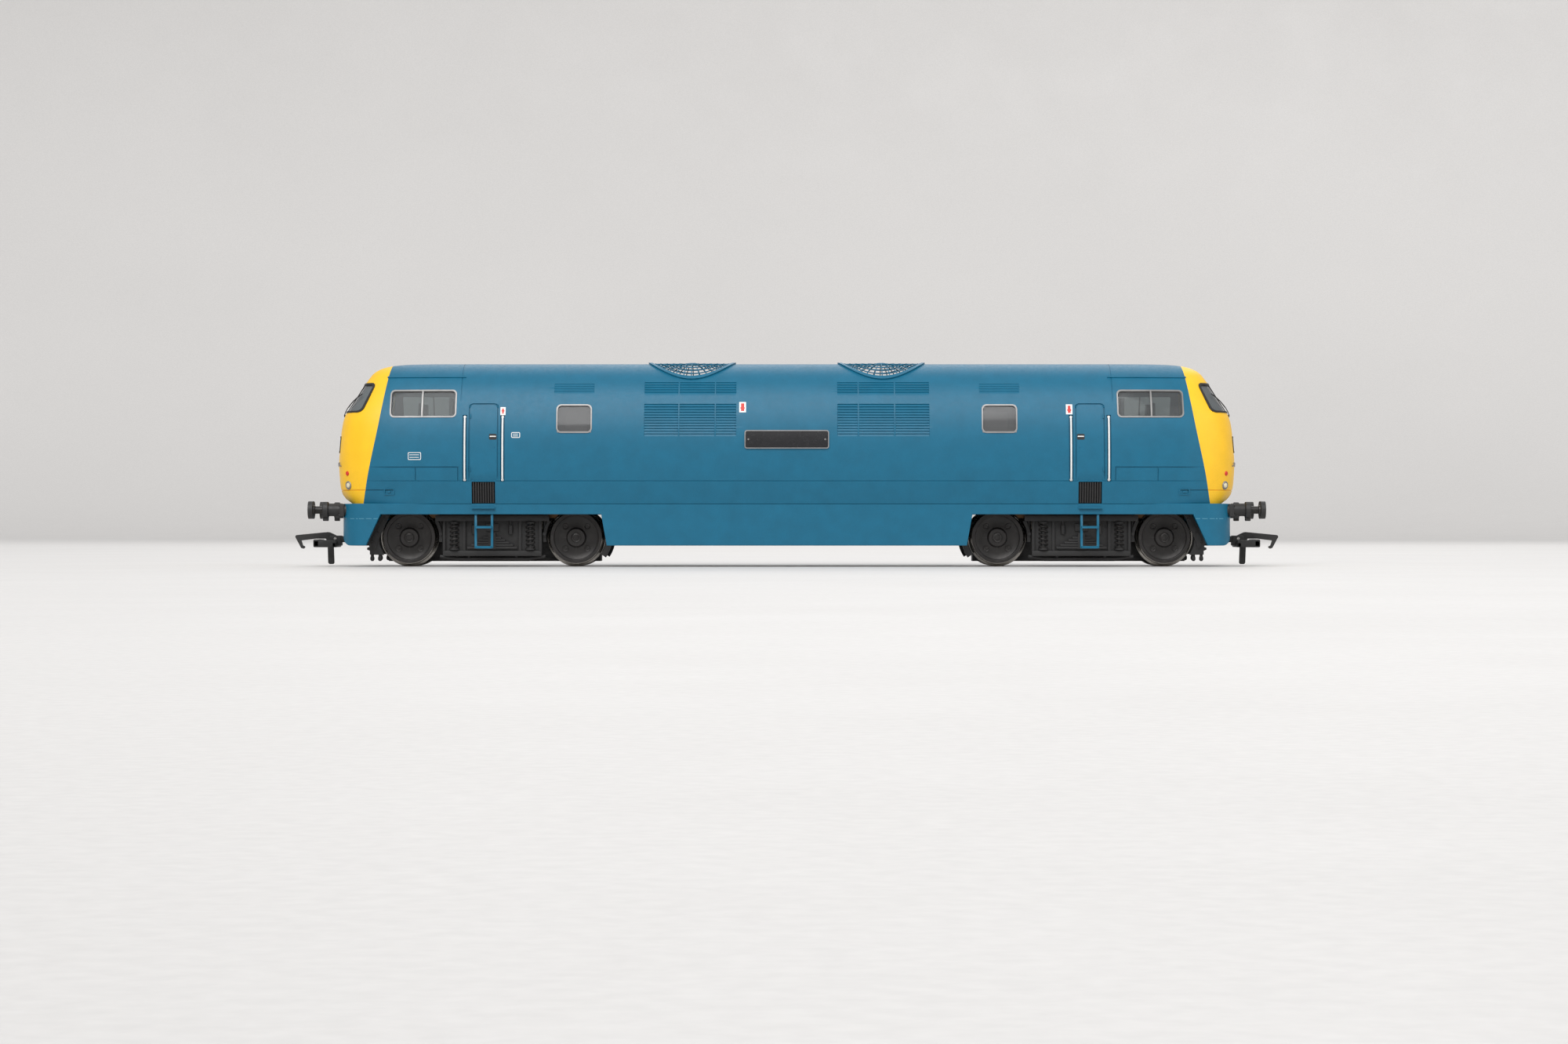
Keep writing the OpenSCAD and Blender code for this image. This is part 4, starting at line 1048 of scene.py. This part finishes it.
def buffer_stocks():
    """Housings with their steps, bolted flanges and the draw plate between them."""
    b = Build()
    housing = [(1.05, 110.3), (1.5, 110.3), (1.55, 112.0), (1.55, 115.0), (1.95, 115.1), (2.08, 115.25),
               (2.08, 116.35), (1.95, 116.5), (1.25, 116.55), (1.05, 116.3), (1.05, 110.3)]
    bolt = [(CORE, 112.45), (0.2, 112.43), (0.26, 112.35), (0.26, 112.0), (CORE, 112.0)]
    for y in (-BUFFER_Y, BUFFER_Y):
        b.lathe(housing, (0, y, BUFFER_Z), ALONG)
        b.box((115.1, y - 0.6, 11.45), (116.5, y + 0.6, 12.6), 0.2)
        b.box((111.5, y - 0.75, 12.15), (113.2, y + 0.75, 13.4), 0.15)
        b.box((111.6, y - 0.35, 15.4), (115.6, y + 0.35, 15.85), 0.12)
        b.box((111.0, y - 1.7, BUFFER_Z - 1.65), (112.2, y + 1.7, BUFFER_Z + 1.55), 0.2)
        for dy in (-1.3, 1.3):
            for dz in (-1.25, 1.15):
                b.lathe(bolt, (0, y + dy, BUFFER_Z + dz), ALONG, sides=6)
    b.box((111.6, -1.1, 13.1), (112.3, 1.1, 15.3), 0.15)
    b.add_turned()
    b.make("buffer_stocks", BODY, [BLACK], ["buffer_housings"])


for name, end in ENDS:
    for side_name, y in (("left", BUFFER_Y), ("right", -BUFFER_Y)):
        head = buffer_head(y)
        if end < 0:
            head.turn_half()
        node = f"buffer_head_{name}_{side_name}"
        head.make(node + "_turned", node, [BLACK, DARK_METAL], [node])
buffer_stocks()


# ---------------------------------------------------------------- bogies

BOGIE_X, AXLE_X, AXLE_Z = 74.0, 21.0, 7.3
COUPLING_X = BOGIE_X + 34.0


def shift(b, dx, end):
    """Moves a piece drawn about a bogie's centre into place."""
    b.verts = [(x + dx, y, z) for x, y, z in b.verts]
    if end < 0:
        b.turn_half()
    return b


def arc(cx, cz, r, a0, a1, steps):
    """Points of an arc between two angles in degrees."""
    return [(cx + r * math.cos(a), cz + r * math.sin(a))
            for a in (math.radians(a0 + (a1 - a0) * k / steps) for k in range(steps + 1))]


def upright(a, z, y):
    """Place for a prism whose outline is drawn in x and z."""
    return a, y, z


def side_frame():
    """Spring panels, brake gear and guard irons on the +Y side of a bogie, then mirrored."""
    b = Build()
    b.box((-12.3, 10.4, 2.6), (12.3, 10.95, 12.6), 0.12)
    b.box((-14.3, 10.5, 11.4), (14.3, 11.75, 12.9), 0.18)
    b.box((-12.4, 10.5, 2.7), (12.4, 11.5, 4.0), 0.15)
    for x in (-12.1, -7.0, 7.0, 12.1):
        b.box((x - 0.35, 10.6, 4.0), (x + 0.35, 11.6, 11.6), 0.1)
    for i in range(5):
        b.box((-6.3 + i, 10.7, 4.5 + 0.62 * i), (6.3 - i, 12.0, 5.02 + 0.62 * i), 0.08)
    b.box((-0.9, 10.7, 4.4), (0.9, 12.05, 8.4), 0.12)
    b.box((-1.6, 10.6, 8.9), (1.6, 11.5, 10.8), 0.15)
    for x in (-9.55, 9.55):
        coil = [(x + 0.95 * math.cos(t), 11.0 + 0.75 * math.sin(t), 4.5 + 6.4 * t / (12 * math.pi))
                for t in (2 * math.pi * k / 12 for k in range(73))]
        b.tube(coil, 0.26, 1, 8)
        b.lathe([(CORE, 4.2), (1.3, 4.2), (1.3, 4.6), (0.5, 4.7), (0.5, 10.7), (1.3, 10.8), (1.3, 11.2),
                 (CORE, 11.2)], (x, 11.0, 0), UP, sides=24)
    for x in (-4.6, 4.6):
        b.lathe([(CORE, 8.2), (0.55, 8.2), (0.6, 8.4), (0.6, 10.4), (0.3, 10.5), (0.3, 11.6), (CORE, 11.6)],
                (x, 11.35, 0), UP, sides=20)
    guard = [(25.2, 13.7), (27.2, 13.75), (27.6, 13.4), (31.1, 7.3), (31.35, 6.0), (31.0, 4.95), (31.6, 4.7),
             (31.6, 4.25), (30.9, 3.95), (30.9, 3.0), (27.5, 2.9)]
    b.prism(guard + arc(AXLE_X, AXLE_Z, 7.62, -31, 53, 10), upright, 8.5, 10.2, 0.14)
    b.prism([(25.9, 12.9), (27.0, 12.9), (30.3, 7.0), (30.3, 5.4), (29.4, 4.3), (28.9, 6.2)], upright,
            10.1, 10.5, 0.1)
    for x in (28.4, 30.35):
        b.lathe([(CORE, 1.35), (0.3, 1.4), (0.52, 1.7), (0.55, 2.2), (0.4, 2.6), (0.4, 4.2), (CORE, 4.2)],
                (x, 9.4, 0), UP, sides=16)
    bolt = [(CORE, 0.32), (0.22, 0.3), (0.3, 0.15), (0.3, 0.0), (CORE, 0.0)]
    for x, z in ((27.0, 12.0), (28.9, 8.6), (30.2, 6.3)):
        b.lathe(bolt, (x, 10.35, z), ACROSS, sides=6)
    for s in SIDES:
        start = 90 + s * 58
        shoe = (arc(s * AXLE_X, AXLE_Z, 7.55, start, start + s * 40, 8)
                + arc(s * AXLE_X, AXLE_Z, 8.35, start + s * 40, start, 8))
        b.prism(shoe, upright, 8.3, 10.0, 0.1)
        b.tube([(s * 13.1, 9.2, 7.5), (s * 12.9, 9.4, 10.5), (s * 13.4, 9.2, 13.2)], 0.45, sides=8)
        b.tube([(s * 13.0, 9.3, 8.2), (s * 13.0, 10.9, 8.2)], 0.4, sides=10)
        if s < 0:
            outer_shoe = arc(-AXLE_X, AXLE_Z, 7.6, 172, 214, 8) + arc(-AXLE_X, AXLE_Z, 9.0, 214, 172, 8)
            b.prism(outer_shoe, upright, 8.4, 9.9, 0.12)
            b.tube([(-29.6, 9.2, 7.5), (-29.3, 9.2, 11.5), (-27.6, 8.6, 13.6)], 0.45, sides=8)
    b.tube([(-13.2, 9.6, 2.6), (-9, 9.9, 2.0), (9, 9.9, 2.0), (13.2, 9.6, 2.6)], 0.45, sides=10)
    for x in (-6, 6):
        b.tube([(x, 10.2, 2.4), (x, 10.6, 3.6)], 0.35, sides=8)
    b.add_mirrored()
    return b


BACK_Y = 7.25       # inner faces of the wheels
# Radius and distance outwards from the inner face: flange, tread, rim, web and hub.
FLANGE_TREAD = [(6.9, 0.0), (7.18, 0.08), (7.3, 0.3), (7.28, 0.5), (7.1, 0.68), (6.8, 0.82), (6.68, 1.0),
                (6.62, 1.8), (6.58, 2.68), (6.46, 2.8)]
RIM_HUB = [(6.46, 2.8), (5.75, 2.8), (5.6, 2.7), (5.5, 2.25), (5.2, 2.08), (4.2, 1.9), (3.2, 1.86),
           (2.55, 1.95), (2.35, 2.15), (2.25, 2.62), (2.1, 2.72), (1.3, 2.72), (1.2, 2.6), (1.0, 2.55),
           (1.0, 0.0), (6.9, 0.0)]
AXLE_END = [(CORE, 2.9), (0.55, 2.88), (0.75, 2.75), (0.95, 2.72), (0.95, 2.3), (CORE, 2.3)]
BOSS = [(CORE, 1.98), (0.45, 1.98), (0.55, 2.06), (0.7, 2.1), (0.78, 2.0), (0.78, 1.7), (CORE, 1.7)]


def wheel_pair(s):
    """Two wheels: the tread and flange are bright, the rest is blackened."""
    b = Build()
    for side in SIDES:
        x, y, axis = s * AXLE_X, side * BACK_Y, (0, side, 0)
        b.lathe(FLANGE_TREAD, (x, y, AXLE_Z), axis, 0, 96)
        b.lathe(RIM_HUB, (x, y, AXLE_Z), axis, 1, 96)
        b.lathe(AXLE_END, (x, y, AXLE_Z), axis, 1, 32)
        for dx, dz in arc(0, 0, 3.9, 45, 315, 3):
            b.lathe(BOSS, (x + dx, y, AXLE_Z + dz), axis, 1, 20)
    return b


# Arm with its barb, then the lifting tail; x from the swing pin, and z.
HOOK = [(5.8, 6.2), (5.8, 7.4), (7.2, 8.1), (8.3, 8.6), (8.8, 8.65), (16.6, 7.9), (16.9, 7.75), (17.0, 7.4),
        (15.5, 4.6), (14.95, 4.42), (14.55, 4.7), (14.6, 5.0), (15.1, 5.25), (15.5, 6.5), (11.8, 6.95),
        (9.2, 6.95), (8.8, 6.0), (8.62, 0.85), (8.3, 0.5), (7.4, 0.5), (7.12, 0.85), (7.32, 5.8)]
DRAWBAR_Z = (6.05, 7.6)


def coupling_hook():
    """Hook and the pin on which it lifts."""
    b = Build()
    b.prism(HOOK, upright, -0.6, 0.6, 0.12)
    b.lathe([(CORE, -1.8), (0.36, -1.78), (0.4, -1.7), (0.4, 1.7), (0.36, 1.78), (CORE, 1.8)], (6.7, 0, 7.0),
            ACROSS, 1, 16)
    return b


def coupling_bar():
    """Ring and shank about the swing pin, two cheeks for the hook's pin, and the bumper loop."""
    b = Build()
    low, high = DRAWBAR_Z
    b.lathe([(0.86, low), (1.5, low), (1.6, low + 0.1), (1.6, high - 0.1), (1.5, high), (0.86, high),
             (0.86, low)], (0, 0, 0), UP, sides=40)
    b.box((1.35, -1.55, low), (5.9, 1.55, high), 0.18)
    for side in SIDES:
        b.box((5.2, side * 1.25 - 0.5, 5.2), (8.1, side * 1.25 + 0.5, 7.75), 0.2)
        b.box((6.0, side * 5.1 - 0.4, 4.8), (11.7, side * 5.1 + 0.4, 6.6), 0.25)
    b.box((6.0, -5.5, 4.8), (7.1, 5.5, 6.1), 0.25)
    b.box((10.2, -5.5, 4.8), (11.8, 5.5, 6.8), 0.35)
    return b


for name, end in ENDS:
    side = shift(side_frame(), BOGIE_X, end)
    side.make(f"bogie_side_frames_{name}", f"bogie_{name}", [BLACK, DARK_METAL], [f"bogie_sides_{name}"])
    bar = shift(coupling_bar(), COUPLING_X, end)
    bar.make(f"coupling_bar_{name}_moulded", f"coupling_{name}", [BLACK], [f"coupling_bar_{name}"])
    hook = shift(coupling_hook(), COUPLING_X, end)
    hook.make(f"coupling_hook_{name}_moulded", f"hook_{name}", [BLACK, STEEL], [f"coupling_hook_{name}"])
    for place, s in (("outer", 1), ("inner", -1)):
        wheels = shift(wheel_pair(s), BOGIE_X, end)
        wheels.make(f"wheels_{place}_{name}_turned", f"wheelset_{place}_{name}", [TREAD, DARK_METAL],
                    [f"wheels_{place}_{name}"], sharp=28)


# ---------------------------------------------------------------- parts kept from the CAD

KEPT = {
    "cab_interiors": GREY, "door_ladders": BLUE, "buffer_beams": BLUE, "chassis_block": CAST,
    "underframe_tanks": BLACK, "motor_case": DARK_METAL, "motor_end_caps": BLACK, "circuit_board": BOARD,
    "screws": STEEL, "motor_shaft": STEEL, "armature": WINDING, "flywheels": BRASS}
KEPT_EACH_END = {
    "cardan": BLACK, "bogie_frame": BLACK, "bogie_keeper": BLACK, "worm_cover": BLACK, "pickups": COPPER,
    "worm": BRASS, "drive_gear": IVORY, "idler_outer": IVORY, "idler_inner": IVORY, "axle_outer": STEEL,
    "axle_inner": STEEL}
EASED = {       # width in mm of the bevel that eases a node's edges
    "door_ladders": 0.15, "buffer_beams": 0.1, "chassis_block": 0.25, "underframe_tanks": 0.25,
    "cab_interiors": 0.12, "motor_case": 0.3, "bogie_frame": 0.15, "bogie_keeper": 0.15, "worm_cover": 0.2,
    "circuit_board": 0.05, "flywheels": 0.2}


def dress(node, material, ease):
    """Gives a CAD mesh its material, eased edges and smooth round faces."""
    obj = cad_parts[node]
    obj.data.materials.clear()
    obj.data.materials.append(material)
    weld = obj.modifiers.new("weld", "WELD")
    weld.merge_threshold = WELD_DIST
    if ease:
        bevel = obj.modifiers.new("eased_edges", "BEVEL")
        bevel.width = ease * MM
        bevel.segments = 2
        bevel.limit_method = "ANGLE"
        bevel.angle_limit = math.radians(40)
        bevel.harden_normals = True
    obj.data.shade_smooth()
    smooth = obj.modifiers.new("edge_split", "EDGE_SPLIT")
    smooth.split_angle = math.radians(32)


for node, material in KEPT.items():
    dress(node, material, EASED.get(node, 0))
for stem, material in KEPT_EACH_END.items():
    for name, _ in ENDS:
        dress(f"{stem}_{name}", material, EASED.get(stem, 0))


# ---------------------------------------------------------------- stage

# Name, place and size in metres, and power; a lamp without a size is a wide sun.
LAMPS = (("key", (-0.25, -0.75, 0.85), 0.9, 4.5), ("fill", (0.75, -0.5, 0.45), 0.8, 2.2),
         ("rim", (0.1, 0.7, 0.7), 0.8, 3.0), ("sky", (-0.3, -0.8, 0.85), None, 1.7))
AIM = (0, 0, 0.02)


def stage():
    """Pale floor that curves up into a backdrop all round, and soft lights."""
    b = Build()
    flat, bend, height, steps = 1800.0, 700.0, 1100.0, 96
    path = [(1.0, 0.0), (400.0, 0.0), (900.0, 0.0)]
    path += [(flat + bend * math.sin(a), bend - bend * math.cos(a)) for a in around(64)[:17]]
    path += [(flat + bend, height)]
    b.lathe(path, (0, 0, 0), UP, sides=steps)
    b.add(b.verts[:steps], [tuple(range(steps))])
    mesh = bpy.data.meshes.new("floor")
    mesh.from_pydata([[c * MM for c in v] for v in b.verts], [], b.faces)
    for p in mesh.polygons:
        p.use_smooth = True
    floor = bpy.data.objects.new("floor", mesh)
    mesh.materials.append(
        surface("pale_floor", (0.66, 0.645, 0.63), 0.6, grain=900, bump=0.03, patch=3, vary=0.02))
    bpy.context.scene.collection.objects.link(floor)
    world = bpy.data.worlds.new("studio")
    world.use_nodes = True
    set_inputs(world.node_tree.nodes["Background"], Color=(0.97, 0.98, 1.0, 1), Strength=0.5)
    bpy.context.scene.world = world
    for name, place, size, power in LAMPS:
        light = bpy.data.lights.new(name, "AREA" if size else "SUN")
        if size:
            light.size = size
        else:
            light.angle = math.radians(50)
        light.energy = power
        lamp = bpy.data.objects.new(name, light)
        lamp.location = place
        lamp.rotation_mode = "QUATERNION"
        lamp.rotation_quaternion = (Vector(AIM) - Vector(place)).to_track_quat("-Z", "Y")
        bpy.context.scene.collection.objects.link(lamp)


def camera():
    """Almost level with the couplings, looking straight at the side."""
    data = bpy.data.cameras.new("camera")
    data.lens = 81.2
    data.clip_start = 0.01
    data.clip_end = 20
    cam = bpy.data.objects.new("camera", data)
    cam.location = (-0.0007, -0.9, 0.0112)
    cam.rotation_euler = (math.radians(90), 0, 0)
    bpy.context.scene.collection.objects.link(cam)
    bpy.context.scene.camera = cam


bpy.context.scene.view_settings.view_transform = "Standard"
stage()
camera()
